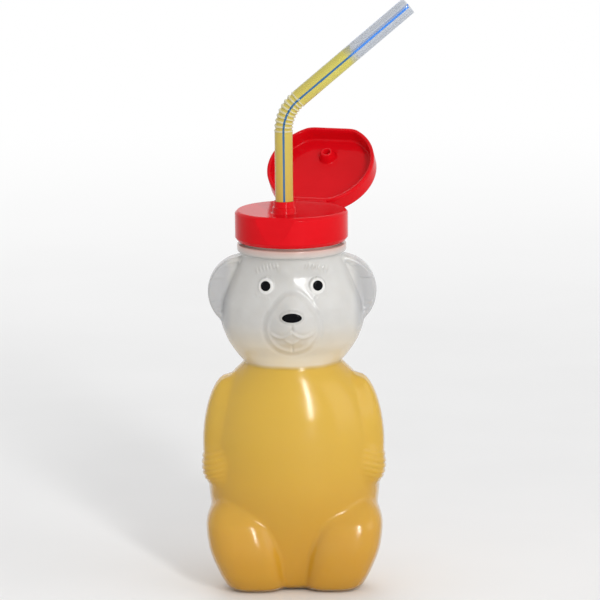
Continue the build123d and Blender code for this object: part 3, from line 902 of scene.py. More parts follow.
def lid_outline(angle, margin):
    """Reach of the lid's outline at an angle from the hinge's side: a circle with a flat at each end."""
    circle = np.full_like(angle, LID_RADIUS - margin)
    cosine = np.cos(angle)
    flat = np.where(cosine > 0, LID_FLATS[1] - margin, LID_FLATS[0] - margin)
    line = flat / np.maximum(np.abs(cosine), 0.2)
    return soft_union(circle, line, LID_FLAT_BLEND)


def lid_rings(columns=224):
    """Rows of the lid as it sits shut: from the end of the plug's bore down to its tip, up the plug
    and out under the plate, down the rim's inside, up its outside and in over the top plate."""
    angle = 2 * math.pi * np.arange(columns) / columns
    top = LID_SEAT + LID_HEIGHT
    plate = top - LID_WALL
    tip = plate - PLUG_LENGTH
    bore_end = tip + PLUG_BORE_DEPTH

    def ring(margin, height, share=0.0, radius=1.0):
        outline = lid_outline(angle, margin) * (1 - share)
        reach = outline * np.cos(angle) + share * (-SPOUT_OFFSET + radius * np.cos(angle))
        aside = outline * np.sin(angle) + share * radius * np.sin(angle)
        return np.stack((reach, aside, np.full(columns, height)), axis=-1)

    outside = [ring(LID_EDGE, LID_SEAT), ring(0.0, LID_SEAT + LID_EDGE)]
    outside += [ring(0.0, LID_SEAT + rise) for rise in (1.5, 3.0, 4.5)]
    edge = arc((-LID_TOP_ROUND, top - LID_TOP_ROUND), LID_TOP_ROUND, 0, 90, 8)
    outside += [ring(-reach, height) for reach, height in edge]
    outside += [ring(margin, top) for margin in (3.0, 7.0, 12.0, 16.0, 17.8)]
    inside = [ring(LID_WALL - 0.2, LID_SEAT), ring(LID_WALL, LID_SEAT + 0.2)]
    inside += [ring(LID_WALL, LID_SEAT + rise) for rise in (1.6, 3.2, 4.4)]
    fillet = arc((-LID_WALL - LID_PLATE_FILLET, plate - LID_PLATE_FILLET), LID_PLATE_FILLET, 0, 90, 7)
    inside += [ring(-reach, height) for reach, height in fillet]
    base, end = PLUG_RADII
    inside += [ring(LID_WALL + 1.0, plate, share, base + 0.5) for share in (0.15, 0.35, 0.6, 0.85, 1.0)]
    plug = (
        (base + 0.12, plate - 0.12), (base, plate - 0.5), ((base + end) / 2, plate - PLUG_LENGTH / 2),
        (end + 0.08, tip + 0.3), (end - 0.06, tip + 0.08), (end - 0.25, tip), (PLUG_BORE + 0.15, tip),
        (PLUG_BORE, tip + 0.15), (PLUG_BORE, bore_end - 0.2), (PLUG_BORE - 0.2, bore_end),
        (0.4, bore_end),
    )
    inside += [ring(0.0, height, 1.0, radius) for radius, height in plug]
    return np.stack(inside[::-1] + outside)


def open_lid(shut):
    """Points of the shut lid turned about the hinge line to where the lid stands open."""
    run, rise = shut[..., 0] - HINGE_REACH, shut[..., 2] - DECK_TOP
    reach = HINGE_REACH + run * math.cos(LID_OPEN) + rise * math.sin(LID_OPEN)
    height = DECK_TOP - run * math.sin(LID_OPEN) + rise * math.cos(LID_OPEN)
    level = reach[..., None] * BACK[:2] + shut[..., 1:2] * ALONG[:2]
    return np.concatenate((level, height[..., None]), axis=-1)


def strap_rings():
    """Rows of the hinge strap: a thin round-edged bar bent from the cap's notch to the lid's wall."""
    start = np.array((NOTCH_REACH, DECK_TOP - 1.5 * HINGE_THICKNESS))
    lid_end = np.array((LID_FLATS[1], 0.0, LID_SEAT + HINGE_THICKNESS / 2))
    opened = open_lid(lid_end)
    end = np.array((opened[:2] @ BACK[:2], opened[2]))
    share = np.linspace(0.0, 1.0, 9)
    line = start + (end - start) * share[:, None]
    line[:, 1] -= 0.12 * np.sin(math.pi * share)
    angle = np.radians(np.arange(0, 360, 15))
    half_width = HINGE_WIDTH / 2
    half_thick = HINGE_THICKNESS / 2 * (1 - 0.35 * np.sin(math.pi * share))
    across = np.clip(1.3 * np.cos(angle), -1, 1) * half_width
    thick = np.clip(1.3 * np.sin(angle), -1, 1)
    normal = np.array((start[1] - end[1], end[0] - start[0]))
    normal /= np.linalg.norm(normal)
    spot = line[:, None, :] + normal * (thick[None, :, None] * half_thick[:, None, None])
    level = spot[..., :1] * BACK[:2] + across[None, :, None] * ALONG[:2]
    return np.concatenate((level, spot[..., 1:]), axis=-1)[::-1]


# Straw

def straw_path(distance):
    """Point and direction of the straw's centre line at a distance from the foot of its pleats:
    straight up, then round the bend's arc, then straight on."""
    within = np.clip(distance, 0, BEND_LENGTH)
    turn = within / BEND_RADIUS
    past = distance - within
    x = SPOUT[0] + BEND_RADIUS * (1 - np.cos(turn)) + past * np.sin(turn)
    z = PLEATS_BOTTOM + BEND_RADIUS * np.sin(turn) + past * np.cos(turn)
    point = np.stack((x, np.full_like(x, SPOUT[1]), z), axis=-1)
    return point, turn


def straw_rings(distance, radius, columns=STRAW_COLUMNS):
    """Rings of the given radii square to the straw's line, their first point on its front."""
    point, turn = straw_path(distance)
    angle = 2 * math.pi * np.arange(columns) / columns
    forward = np.array((0.0, -1.0, 0.0))
    sideways = np.stack((np.cos(turn), np.zeros_like(turn), -np.sin(turn)), axis=-1)
    across = sideways[:, None, :] * np.sin(angle)[None, :, None] + forward * np.cos(angle)[None, :, None]
    return point[:, None, :] + across * radius[:, None, None]


def straw_tube(name, distance, outer, bore):
    """Hollow tube along the straw: up its outside and back down its bore, with the distance as UV."""
    up = straw_rings(distance, outer)
    down = straw_rings(distance[::-1], bore[::-1])
    along = np.concatenate((distance, distance[::-1])) * MM
    return looped_rings(name, np.concatenate((up, down)), along), len(distance)


def rounded_ends(distance, outer, bore, rounds=(True, True)):
    """The rim's edges broken at the ends asked for, and a ring added close to each end, which
    keeps the wall's shading straight up to it."""
    guards = distance[0] + RIM_BREAK, distance[-1] - RIM_BREAK
    outer, bore = (np.concatenate((radius[:1], radius, radius[-1:])) for radius in (outer, bore))
    distance = np.concatenate((distance[:1], guards[:1], distance[1:-1], guards[1:], distance[-1:]))
    for end, wanted in zip((0, -1), rounds):
        if wanted:
            outer[end] -= RIM_BREAK
            bore[end] += RIM_BREAK
    return distance, outer, bore


def pleat_radius(distance):
    """Radius of the pleats: a steep round crest and a rounder root, once every pitch."""
    wave = 0.5 + 0.5 * np.cos(2 * math.pi * distance * PLEATS / BEND_LENGTH)
    return PLEAT_ROOT + (PLEAT_CREST - PLEAT_ROOT) * wave**0.75


# Materials

WHITE = (1.0, 1.0, 1.0, 1.0)

# Places in the bottle's plastic, in metres: the top of the jaw's painted glow, where the collar's
# painted reflection of the cap begins and is full, the ears' painted shade by side and height, the
# edge of the eye rings' painted highlight, and the top of the deep drink's colour and painted shade
JAW_TOP = 0.102
COLLAR_SPAN = (0.1230, 0.1270)
EAR_SIDE_SPAN = (0.0215, 0.0245)
EAR_HEIGHT_SPAN = (0.090, 0.100)
RING_SPAN = (0.0027, 0.0032)
DEEP_TOP = 0.07
WET_FADE = 0.002

# Places in the drink, in metres: the top of its deeper colour and painted shade, and where it thins in the
# straw
DRINK_DEEP_TOP = 0.075
DRINK_THIN_SPAN = (0.150, 0.195)

# Straw: stripes round the tube, their waver, the tint's span along it, and how its pleats begin
STRIPES = 4
STRIPE_WAVER = 0.006
TINT_SPAN = (-0.02, 0.03)
PLEAT_FADE = 0.0004
STREAK_SCALE = (22.0, 30.0, 1.0)

# Span from the object over which the floor turns white
FLOOR_WHITE_SPAN = (0.25, 1.1)

# Mirrored share of the light face on and at a grazing slant
SHEEN_SPAN = (0.025, 0.4)
SHEEN_POWER = 5.0


class Nodes:
    """Node tree of a material or a world, with short calls to add a node and join sockets."""

    def __init__(self, owner, output="ShaderNodeOutputMaterial"):
        owner.use_nodes = True
        self.owner = owner
        self.tree = owner.node_tree
        self.tree.nodes.clear()
        self.output = self.add(output)

    def add(self, kind, inputs=None, **settings):
        """New node with its settings and its inputs: a number or a colour, or a socket to join."""
        node = self.tree.nodes.new(kind)
        for key, value in settings.items():
            setattr(node, key, value)
        for key, value in (inputs or {}).items():
            if isinstance(value, bpy.types.NodeSocket):
                self.tree.links.new(value, node.inputs[key])
            else:
                node.inputs[key].default_value = value
        return node

    def finish(self, shader):
        """Joins the last shader to the output and returns the material or world."""
        self.tree.links.new(shader, self.output.inputs["Surface"])
        return self.owner

    def place(self):
        """Object coordinates of the shaded point."""
        return self.add("ShaderNodeTexCoord").outputs["Object"]

    def parts(self, vector):
        """The three parts of a vector, by letter."""
        return self.add("ShaderNodeSeparateXYZ", {"Vector": vector}).outputs

    def noise(self, scale, detail=4.0, roughness=0.55):
        """Noise over the object, its size in features per metre."""
        return self.add("ShaderNodeTexNoise", {
            "Vector": self.place(), "Scale": scale, "Detail": detail, "Roughness": roughness,
        }).outputs["Fac"]

    def span(self, value, low, high, start=0.0, end=1.0, smooth=False):
        """Value mapped from low and high to start and end, held beyond them."""
        return self.add("ShaderNodeMapRange", {
            "Value": value, "From Min": low, "From Max": high, "To Min": start, "To Max": end,
        }, clamp=True, interpolation_type="SMOOTHSTEP" if smooth else "LINEAR").outputs["Result"]

    def maths(self, kind, first, second=0.0):
        """One math node on one or two values."""
        return self.add("ShaderNodeMath", {0: first, 1: second}, operation=kind).outputs["Value"]

    def bump(self, height, strength, distance):
        """Bump from a height, its depth in metres."""
        return self.add("ShaderNodeBump", {
            "Height": height, "Strength": strength, "Distance": distance,
        }).outputs["Normal"]

    def sheen(self, strength):
        """Share of light that the surface mirrors: a few hundredths face on, rising with the fifth
        power of the slant, alike from both sides of a thin wall."""
        facing = self.add("ShaderNodeLayerWeight", {"Blend": 0.5}).outputs["Facing"]
        mirrored = self.span(self.maths("POWER", facing, SHEEN_POWER), 0.0, 1.0, *SHEEN_SPAN)
        return self.maths("MULTIPLY", mirrored, strength)

    def mix(self, share, first, second):
        """Colour mixed from two colours by a share. A Mix node's colours are its inputs 6 and 7,
        and its output 2."""
        return self.add("ShaderNodeMix", {0: share, 6: first, 7: second}, data_type="RGBA").outputs[2]

    def shader(self, kind, inputs):
        """What a shader node with the given inputs gives."""
        return self.add("ShaderNode" + kind, inputs).outputs[0]

    def layer(self, share, under, over):
        """One shader over another by a share."""
        return self.add("ShaderNodeMixShader", {0: share, 1: under, 2: over}).outputs[0]

    def clear(self):
        """Plain view of what lies behind."""
        return self.shader("BsdfTransparent", {"Color": WHITE})

    def gloss(self, roughness):
        """White mirror of a roughness."""
        return self.shader("BsdfGlossy", {"Color": WHITE, "Roughness": roughness})

    def seen_plainly(self):
        """One on rays from the camera, from gloss and through clear plastic, zero on the others."""
        rays = self.add("ShaderNodeLightPath").outputs
        seen = self.maths("MAXIMUM", rays["Is Camera Ray"], rays["Is Glossy Ray"])
        return self.maths("MAXIMUM", seen, rays["Is Transmission Ray"])


def material_nodes(name):
    """Empty node tree of a new material."""
    return Nodes(bpy.data.materials.new(name))


def solid(colour):
    """Colour with full alpha."""
    return (*colour, 1.0)


def bottle_material(sizes):
    """Milky squeeze plastic: nearly opaque where it is dry, tinted and half clear where the drink
    wets it. The jaw carries a painted warm glow standing for the drink's light under it, the collar
    a painted pinkish reflection of the cap over it, and the sunk ears painted grey shade. The raised
    eye rings are painted lighter as a painted highlight, and over the drink the plastic is darker
    towards the bottom, partly the drink's own colour and partly painted shade."""
    n = material_nodes("milky_squeeze_plastic")
    axes = n.parts(n.place())
    height, side = axes["Z"], n.maths("ABSOLUTE", axes["X"])
    level = DRINK_LEVEL * MM
    ripple = n.span(n.noise(55.0, 3.0), 0.3, 0.7, -0.0003, 0.0003)
    dry = n.span(n.maths("ADD", height, ripple), level - WET_FADE, level, 0.0, 1.0, True)
    thin = n.span(n.noise(38.0, 5.0), 0.35, 0.7)
    shade = n.mix(thin, solid(sizes.plastic_colour), solid(sizes.plastic_shade))
    # Painted glow: the jaw is painted warmer, as if lit by the drink under it
    glow = n.span(n.noise(70.0, 4.0), 0.2, 0.7, 0.6, 1.0)
    jaw = n.maths("MULTIPLY", n.span(height, level, JAW_TOP, 1.0, 0.0, True), glow)
    shade = n.mix(jaw, shade, solid(sizes.jaw_painted_glow_colour))
    # Painted reflection: the neck under the cap is painted pinkish red, as the cap's reflected light
    collar = n.span(height, *COLLAR_SPAN, 0.0, 1.0, True)
    shade = n.mix(collar, shade, solid(sizes.collar_painted_reflection_colour))
    # Painted shade: the ears' sunk faces are painted greyer
    ear_side = n.span(side, *EAR_SIDE_SPAN, 0.0, 0.85, True)
    ear = n.maths("MULTIPLY", ear_side, n.span(height, *EAR_HEIGHT_SPAN, 0.0, 1.0, True))
    shade = n.mix(ear, shade, solid(sizes.ear_painted_shade_colour))
    # Painted highlight: the raised rings round the eyes are painted lighter
    folded = n.add("ShaderNodeCombineXYZ", {"X": side, "Y": axes["Y"], "Z": height}).outputs["Vector"]
    eye = tuple(value * MM for value in EYE_PLACE)
    ring = n.add("ShaderNodeVectorMath", {0: folded, 1: eye}, operation="DISTANCE").outputs["Value"]
    shade = n.mix(n.span(ring, *RING_SPAN, 0.8, 0.0), shade, solid(sizes.eye_ring_painted_highlight_colour))
    # Darker towards the bottom: partly the drink's own deeper colour, partly painted shade
    drift = n.span(n.noise(40.0, 4.0), 0.2, 0.7, 0.7, 1.0)
    deep = n.maths("MULTIPLY", n.span(height, 0.0, DEEP_TOP, 1.0, 0.0, True), drift)
    shade = n.mix(dry, n.mix(deep, solid(sizes.wet_colour), solid(sizes.wet_deep_and_painted_shade)), shade)
    roughness = n.span(n.noise(210.0, 6.0), 0.3, 0.75, 0.14, 0.24)
    grain = n.maths("ADD", n.noise(900.0, 3.0), n.maths("MULTIPLY", n.noise(140.0, 4.0), 1.6))
    milk = n.shader("BsdfPrincipled", {
        "Base Color": shade, "Roughness": roughness, "Normal": n.bump(grain, 0.1, 0.00006),
        "IOR": 1.5, "Specular IOR Level": 0.3, "Subsurface Weight": 0.15,
        "Subsurface Radius": (0.0022, 0.0018, 0.0014), "Subsurface Scale": 1.0,
    })
    opacity = n.span(dry, 0.0, 1.0, sizes.wet_opacity, sizes.dry_opacity)
    body = n.layer(opacity, n.clear(), milk)
    return n.finish(n.layer(n.sheen(n.span(dry, 0.0, 1.0, 1.0, 0.6)), body, n.gloss(roughness)))


def haze_material(name, scale, haze_span, colour, roughness):
    """Nearly clear face with a faint uneven haze of a colour."""
    n = material_nodes(name)
    haze = n.span(n.noise(scale, 3.0), 0.3, 0.7, *haze_span)
    film = n.shader("BsdfPrincipled", {"Base Color": solid(colour), "Roughness": roughness})
    return n.finish(n.layer(haze, n.clear(), film))


def inside_material():
    """Inner face of the bottle: a faint haze over what lies behind it."""
    return haze_material("bottle_inside_face", 60.0, (0.0, 0.02), (0.7, 0.69, 0.66), 0.4)


def bore_material():
    """Wall of the straw's bore: nearly clear, with faint spots."""
    return haze_material("straw_bore_face", 500.0, (0.01, 0.05), (0.6, 0.64, 0.68), 0.3)


def drink_material(sizes):
    """Cloudy yellow drink: deeper in colour towards the bottom, partly its own colour and partly
    painted shade, with drifting pulp, and paler in the thin column of the straw, over the bottle."""
    n = material_nodes("cloudy_yellow_drink")
    height = n.parts(n.place())["Z"]
    # Darker towards the bottom: partly the drink's own deeper colour, partly painted shade
    low = n.span(height, 0.0, DRINK_DEEP_TOP, 1.0, 0.0, True)
    drift = n.maths("MULTIPLY", n.span(n.noise(30.0, 5.0), 0.3, 0.75), 0.35)
    share = n.add("ShaderNodeMath", {0: low, 1: drift}, operation="ADD", use_clamp=True)
    colour = n.mix(share.outputs["Value"], solid(sizes.drink_colour), solid(sizes.drink_deep_and_painted_shade))
    thin = n.span(height, *DRINK_THIN_SPAN, 0.0, 1.0, True)
    colour = n.mix(thin, colour, solid(sizes.drink_thin))
    pulp = n.span(n.noise(700.0, 6.0, 0.7), 0.35, 0.7)
    return n.finish(n.shader("BsdfPrincipled", {
        "Base Color": colour, "Roughness": 0.35, "Normal": n.bump(pulp, 0.12, 0.0001),
        "IOR": 1.36, "Specular IOR Level": 0.15,
    }))


def ink_material(sizes):
    """Glossy black pad print with a faint unevenness."""
    n = material_nodes("black_pad_print")
    uneven = n.span(n.noise(1500.0, 4.0), 0.3, 0.7)
    return n.finish(n.shader("BsdfPrincipled", {
        "Base Color": n.mix(uneven, solid(sizes.ink_colour), (0.006, 0.006, 0.007, 1.0)),
        "Roughness": n.span(n.noise(900.0, 4.0), 0.3, 0.7, 0.06, 0.12),
        "Normal": n.bump(n.noise(1200.0, 2.0), 0.1, 0.00003), "Specular IOR Level": 0.04,
    }))


def cap_material(sizes):
    """Glossy red moulded plastic: slight flow marks in its colour, fine mould grain and wear."""
    n = material_nodes("red_moulded_plastic")
    flow = n.span(n.noise(45.0, 5.0, 0.6), 0.3, 0.72)
    grain = n.maths("ADD", n.noise(1400.0, 2.0), n.maths("MULTIPLY", n.noise(90.0, 2.0), 2.0))
    return n.finish(n.shader("BsdfPrincipled", {
        "Base Color": n.mix(flow, solid(sizes.cap_colour), solid(sizes.cap_deep)),
        "Roughness": n.span(n.noise(260.0, 6.0), 0.3, 0.75, 0.10, 0.20),
        "Normal": n.bump(grain, 0.06, 0.00003), "IOR": 1.5, "Specular IOR Level": 0.09,
    }))


def liner_material(sizes):
    """White foamed sealing disc: fine closed cells."""
    n = material_nodes("foamed_liner")
    cells = n.add("ShaderNodeTexVoronoi", {"Vector": n.place(), "Scale": 2600.0}).outputs["Distance"]
    return n.finish(n.shader("BsdfPrincipled", {
        "Base Color": n.mix(n.span(cells, 0.1, 0.6), solid(sizes.liner_colour), (0.6, 0.6, 0.58, 1.0)),
        "Roughness": 0.75, "Normal": n.bump(cells, 0.4, 0.0001),
    }))


def straw_material(sizes):
    """Clear straw with four blue stripes that follow the distance round the tube. The drink tints
    the plastic up to the drink's end, past it the plastic is greyer, and the pleats' crests carry
    a painted whitish highlight."""
    n = material_nodes("striped_clear_straw")
    uv_map = n.add("ShaderNodeUVMap", uv_map="UVMap").outputs["UV"]
    around, along = (n.parts(uv_map)[axis] for axis in "XY")
    turn = n.maths("FRACT", n.maths("ADD", n.maths("MULTIPLY", around, float(STRIPES)), 0.5))
    off_stripe = n.maths("ABSOLUTE", n.maths("SUBTRACT", turn, 0.5))
    waver = n.span(n.noise(120.0, 2.0), 0.3, 0.7, -STRIPE_WAVER, STRIPE_WAVER)
    half = STRIPES * sizes.stripe_width / 2 / (2 * math.pi * STRAW_RADIUS * MM)
    off_stripe = n.maths("ADD", off_stripe, waver)
    stripe = n.span(off_stripe, half * 0.8, half * 1.15, 1.0, 0.0, True)
    stretched = n.add("ShaderNodeMapping", {"Vector": uv_map, "Scale": STREAK_SCALE}).outputs["Vector"]
    streak = n.add("ShaderNodeTexNoise", {"Vector": stretched, "Scale": 1.0, "Detail": 2.0}).outputs["Fac"]
    bend = BEND_LENGTH * MM
    wet_end = bend + STRAW_DRINK_TOP * MM
    dry = n.span(along, wet_end - WET_FADE, wet_end + WET_FADE)
    high = n.maths("MULTIPLY", n.span(along, *TINT_SPAN), n.span(streak, 0.2, 0.7, 0.7, 1.0))
    tinted = n.mix(high, solid(sizes.tint_low), solid(sizes.tint_high))
    wave = n.maths("COSINE", n.maths("MULTIPLY", along, 2 * math.pi * PLEATS / bend))
    after_start = n.span(along, -PLEAT_FADE, 0.0)
    before_end = n.span(along, bend, bend + PLEAT_FADE, 1.0, 0.0)
    pleated = n.maths("MULTIPLY", after_start, before_end)
    # Painted highlight: the pleats' crests are painted whitish
    crest = n.maths("MULTIPLY", n.span(wave, -0.2, 0.9, 0.0, 0.75), pleated)
    tinted = n.mix(crest, tinted, solid(sizes.crest_painted_highlight_colour))
    plain = n.mix(n.span(streak, 0.3, 0.7), solid(sizes.straw_colour), solid(sizes.straw_shade))
    ink = n.mix(dry, solid(sizes.stripe_wet), solid(sizes.stripe_colour))
    roughness = n.span(streak, 0.3, 0.7, 0.12, 0.2)
    tube = n.shader("BsdfPrincipled", {
        "Base Color": n.mix(stripe, n.mix(dry, tinted, plain), ink),
        "Roughness": roughness, "Specular IOR Level": 0.2,
    })
    opacity = n.span(dry, 0.0, 1.0, sizes.straw_wet_opacity, sizes.straw_opacity)
    opacity = n.maths("MAXIMUM", opacity, n.maths("MULTIPLY", stripe, 0.9))
    body = n.layer(opacity, n.clear(), tube)
    return n.finish(n.layer(n.sheen(0.7), body, n.gloss(roughness)))


def floor_material(sizes):
    """Pale floor that keeps the object's shadow and turns plain white further out."""
    n = material_nodes("pale_floor")
    distance = n.add("ShaderNodeVectorMath", {0: n.place()}, operation="LENGTH").outputs["Value"]
    far = n.span(distance, *FLOOR_WHITE_SPAN, 0.0, 1.0, True)
    tint = n.mix(n.span(n.noise(6.0, 3.0), 0.3, 0.7), solid(sizes.floor_colour), (0.80, 0.80, 0.80, 1.0))
    floor = n.shader("BsdfPrincipled", {"Base Color": tint, "Roughness": 0.7})
    white = n.shader("Emission", {"Color": WHITE, "Strength": 1.0})
    return n.finish(n.layer(n.maths("MULTIPLY", far, n.seen_plainly()), floor, white))


# Sizes and colours that a user would change

def colour_property(name, description, default):
    """Colour swatch property."""
    return FloatVectorProperty(name=name, description=description, default=default, size=3,
                               subtype="COLOR", min=0.0, max=1.0)


def share_property(name, description, default):
    """Share from nothing to the whole."""
    return FloatProperty(name=name, description=description, default=default, min=0.0, max=1.0,
                         subtype="FACTOR")


def power_property(name, description, default):
    """Lamp power."""
    return FloatProperty(name=name, description=description, default=default, min=0.0, max=200.0,
                         unit="POWER")


class BottleSizes(bpy.types.PropertyGroup):
    """Colours of the bottle and its drink."""
    plastic_colour: colour_property("Plastic", "Milky plastic where it is thick", (0.63, 0.62, 0.595))
    plastic_shade: colour_property("Plastic shade", "Milky plastic where it is thin", (0.52, 0.505, 0.48))
    # Painted shade in the ears' sunk faces
    ear_painted_shade_colour: colour_property("Ears", "Thin sunk faces of the ears", (0.47, 0.47, 0.475))
    # Painted glow on the jaw, standing for the drink's light under it
    jaw_painted_glow_colour: colour_property("Jaw", "Plastic lit by the drink under it", (0.76, 0.63, 0.43))
    # Painted reflection of the red cap on the neck under it
    collar_painted_reflection_colour: colour_property("Collar", "Plastic lit by the cap over it", (0.62, 0.40, 0.34))
    # Painted highlight on the raised eye rings
    eye_ring_painted_highlight_colour: colour_property("Eye rings", "Raised rings round the eyes", (0.82, 0.80, 0.77))
    dry_opacity: share_property("Dry opacity", "How much the dry plastic hides", 0.88)
    wet_opacity: share_property("Wet opacity", "How much the plastic hides over the drink", 0.5)
    wet_colour: colour_property("Wet plastic", "Plastic with the drink behind it", (0.74, 0.49, 0.060))
    # Darker plastic low down: partly the drink's own colour, partly painted shade
    wet_deep_and_painted_shade: colour_property("Low wet plastic", "Plastic over the deep drink", (0.68, 0.36, 0.030))
    drink_colour: colour_property("Drink", "Drink near its level", (0.70, 0.45, 0.030))
    # Darker drink low down: partly its own colour, partly painted shade
    drink_deep_and_painted_shade: colour_property("Deep drink", "Drink near the base", (0.64, 0.32, 0.012))
    drink_thin: colour_property("Thin drink", "Drink in the straw's upper end", (0.66, 0.60, 0.09))
    ink_colour: colour_property("Print", "Eyes and nose", (0.002, 0.002, 0.0025))


class CapSizes(bpy.types.PropertyGroup):
    """Colours of the cap, the lid and the liner."""
    cap_colour: colour_property("Cap", "Red of the cap and the lid", (0.68, 0.004, 0.010))
    cap_deep: colour_property("Cap flow marks", "Deeper red of the flow marks", (0.60, 0.003, 0.007))
    liner_colour: colour_property("Liner", "Foamed sealing disc", (0.78, 0.78, 0.75))


class StrawSizes(bpy.types.PropertyGroup):
    """Stripes and clearness of the straw."""
    stripe_width: FloatProperty(name="Stripe width", description="Width of each blue stripe",
                                default=0.0008, min=0.0001, max=0.003, unit="LENGTH")
    stripe_colour: colour_property("Stripes", "Blue stripes", (0.012, 0.20, 0.70))
    stripe_wet: colour_property("Wet stripes", "Stripes with the drink behind them", (0.02, 0.13, 0.30))
    tint_low: colour_property("Low wet straw", "Drink's tint near the spout", (0.60, 0.42, 0.07))
    tint_high: colour_property("High wet straw", "Drink's tint past the bend", (0.62, 0.57, 0.12))
    # Painted highlight: whitish colour painted on the pleats' crests
    crest_painted_highlight_colour: colour_property("Pleat crests", "Milky crests of the pleats", (0.70, 0.68, 0.52))
    straw_colour: colour_property("Straw", "Clear plastic of the straw", (0.42, 0.46, 0.52))
    straw_shade: colour_property("Straw shade", "Streaks of the clear plastic", (0.28, 0.32, 0.39))
    straw_opacity: share_property("Dry straw opacity", "How much the dry straw hides", 0.5)
    straw_wet_opacity: share_property("Wet straw opacity", "How much the wet straw hides", 0.85)


class StageSizes(bpy.types.PropertyGroup):
    """Floor, lamps and camera."""
    floor_colour: colour_property("Floor", "Pale floor", (0.84, 0.84, 0.84))
    floor_half: FloatProperty(name="Floor half size", description="Half the floor's side",
                              default=12.0, min=1.0, max=50.0, unit="LENGTH")
    key_power: power_property("Key lamp", "Power of the tall narrow lamp at the front", 8.0)
    fill_power: power_property("Fill lamp", "Power of the lamp at the right", 1.4)
    back_power: power_property("Back lamp", "Power of the lamp over the back", 2.5)
    world_strength: FloatProperty(name="World", description="Even light from all round",
                                  default=0.66, min=0.0, max=2.0)
    camera_distance: FloatProperty(name="Camera distance", description="From the camera to the bottle",
                                   default=2.0, min=0.3, max=5.0, unit="LENGTH")
    elevation: FloatProperty(name="Elevation", description="Camera's angle above the level",
                             default=math.radians(10.7), subtype="ANGLE")
    azimuth: FloatProperty(name="Azimuth", description="Camera's angle round the bottle",
                           default=math.radians(0.4), subtype="ANGLE")
    roll: FloatProperty(name="Roll", description="Camera's turn about its own line of sight",
                        default=math.radians(0.63), subtype="ANGLE")
    aim_height: FloatProperty(name="Aim height", description="Height at the middle of the picture",
                              default=0.1050, min=0.0, max=0.3, unit="LENGTH")
    aim_side: FloatProperty(name="Aim to the side", description="Picture's middle, right of the axis",
                            default=0.0028, min=-0.1, max=0.1, unit="LENGTH")


def sizes_of(name):
    """One group of the scene's sizes."""
    return getattr(bpy.context.scene, name)


# Operators

class BEAR_OT_bottle(bpy.types.Operator):
    """Adds the bear's milky skin, with its wall, neck and thread"""
    bl_idname = "bear.bottle"
    bl_label = "Bottle"

    def execute(self, context):
        rings, outside = bear_rings()
        skin = closed_rings("bear_skin", rings)
        skin.data.materials.append(bottle_material(sizes_of("bear_bottle_sizes")))
        rows, columns = rings.shape[:2]
        line_inside(skin, columns, outside, rows - 1, inside_material())
        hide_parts("bear_bottle")
        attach(skin, "bottle")
        return {"FINISHED"}


class BEAR_OT_drink(bpy.types.Operator):
    """Adds the drink that fills the bear up to its chin"""
    bl_idname = "bear.drink"
    bl_label = "Drink"

    def execute(self, context):
        drink = closed_rings("drink", drink_rings())
        drink.data.materials.append(drink_material(sizes_of("bear_bottle_sizes")))
        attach(drink, "bottle")
        return {"FINISHED"}


def domed_oval(name, centre, across, upward, outward, half, height, columns=48):
    """Printed pad: rings of an oval dome from under its edge to its crown, closed below."""
    angle = 2 * math.pi * np.arange(columns) / columns
    share = np.array((0.6, 0.97, 1.0, 0.985, 0.93, 0.8, 0.6, 0.35, 0.12))
    rise = np.array((0.01, 0.01, 0.12, 0.3, 0.52, 0.76, 0.92, 0.985, 1.0)) * height
    oval = (np.cos(angle)[:, None] * across * half[0] + np.sin(angle)[:, None] * upward * half[1])
    rings = centre + share[:, None, None] * oval + rise[:, None, None] * outward
    return closed_rings(name, rings)


class BEAR_OT_print(bpy.types.Operator):
    """Adds the printed eyes and nose"""
    bl_idname = "bear.print"
    bl_label = "Printed face"

    def execute(self, context):
        material = ink_material(sizes_of("bear_bottle_sizes"))
        for node, side in (("right_eye", 1), ("left_eye", -1)):
            outward = eye_outward(side)
            across = np.cross((0.0, 0.0, 1.0), outward)
            across /= np.linalg.norm(across)
            upward = np.cross(outward, across)
            centre = np.array((side * EYE_PLACE[0], EYE_PLACE[1], EYE_PLACE[2]))
            half = (EYE_RADIUS, EYE_RADIUS)
            dot = domed_oval(node + "_print", centre, across, upward, outward, half, EYE_DOME)
            self.dress(dot, material, node)
        outward = np.array((0.0, -1.0, 0.0))
        centre = np.array((0.0, -NOSE_DEPTH, NOSE_HEIGHT))
        across, upward = np.array((1.0, 0.0, 0.0)), np.array((0.0, 0.0, 1.0))
        nose = domed_oval("nose_print", centre, across, upward, outward, NOSE_HALF, NOSE_DOME)
        self.dress(nose, material, "nose")
        return {"FINISHED"}

    def dress(self, piece, material, node):
        """Material, node, slot and body of one printed piece."""
        piece.data.materials.append(material)
        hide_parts(node)
        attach(piece, "bottle")


class BEAR_OT_cap(bpy.types.Operator):
    """Adds the screw cap with its spout, thumb scoop and hinge notch, and finishes the liner"""
    bl_idname = "bear.cap"
    bl_label = "Cap"

    def execute(self, context):
        sizes = sizes_of("bear_cap_sizes")
        cap = looped_rings("cap_shell", cap_rings())
        cap.data.materials.append(cap_material(sizes))
        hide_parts("cap_base")
        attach(cap, "cap")
        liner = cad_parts["seal_ring"]
        liner.data.materials.clear()
        liner.data.materials.append(liner_material(sizes))
        return {"FINISHED"}


class BEAR_OT_lid(bpy.types.Operator):
    """Adds the open lid with its plug, and the strap that it hangs on"""
    bl_idname = "bear.lid"
    bl_label = "Lid and hinge strap"

    def execute(self, context):
        material = bpy.data.materials["red_moulded_plastic"]
        lid = closed_rings("lid_shell", open_lid(lid_rings()))
        lid.data.materials.append(material)
        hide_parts("flip_lid")
        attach(lid, "lid")
        rings = strap_rings()
        strap = closed_rings("hinge_strap", rings)
        strap.data.materials.append(material)
        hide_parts("hinge_web")
        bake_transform(strap)
        return {"FINISHED"}


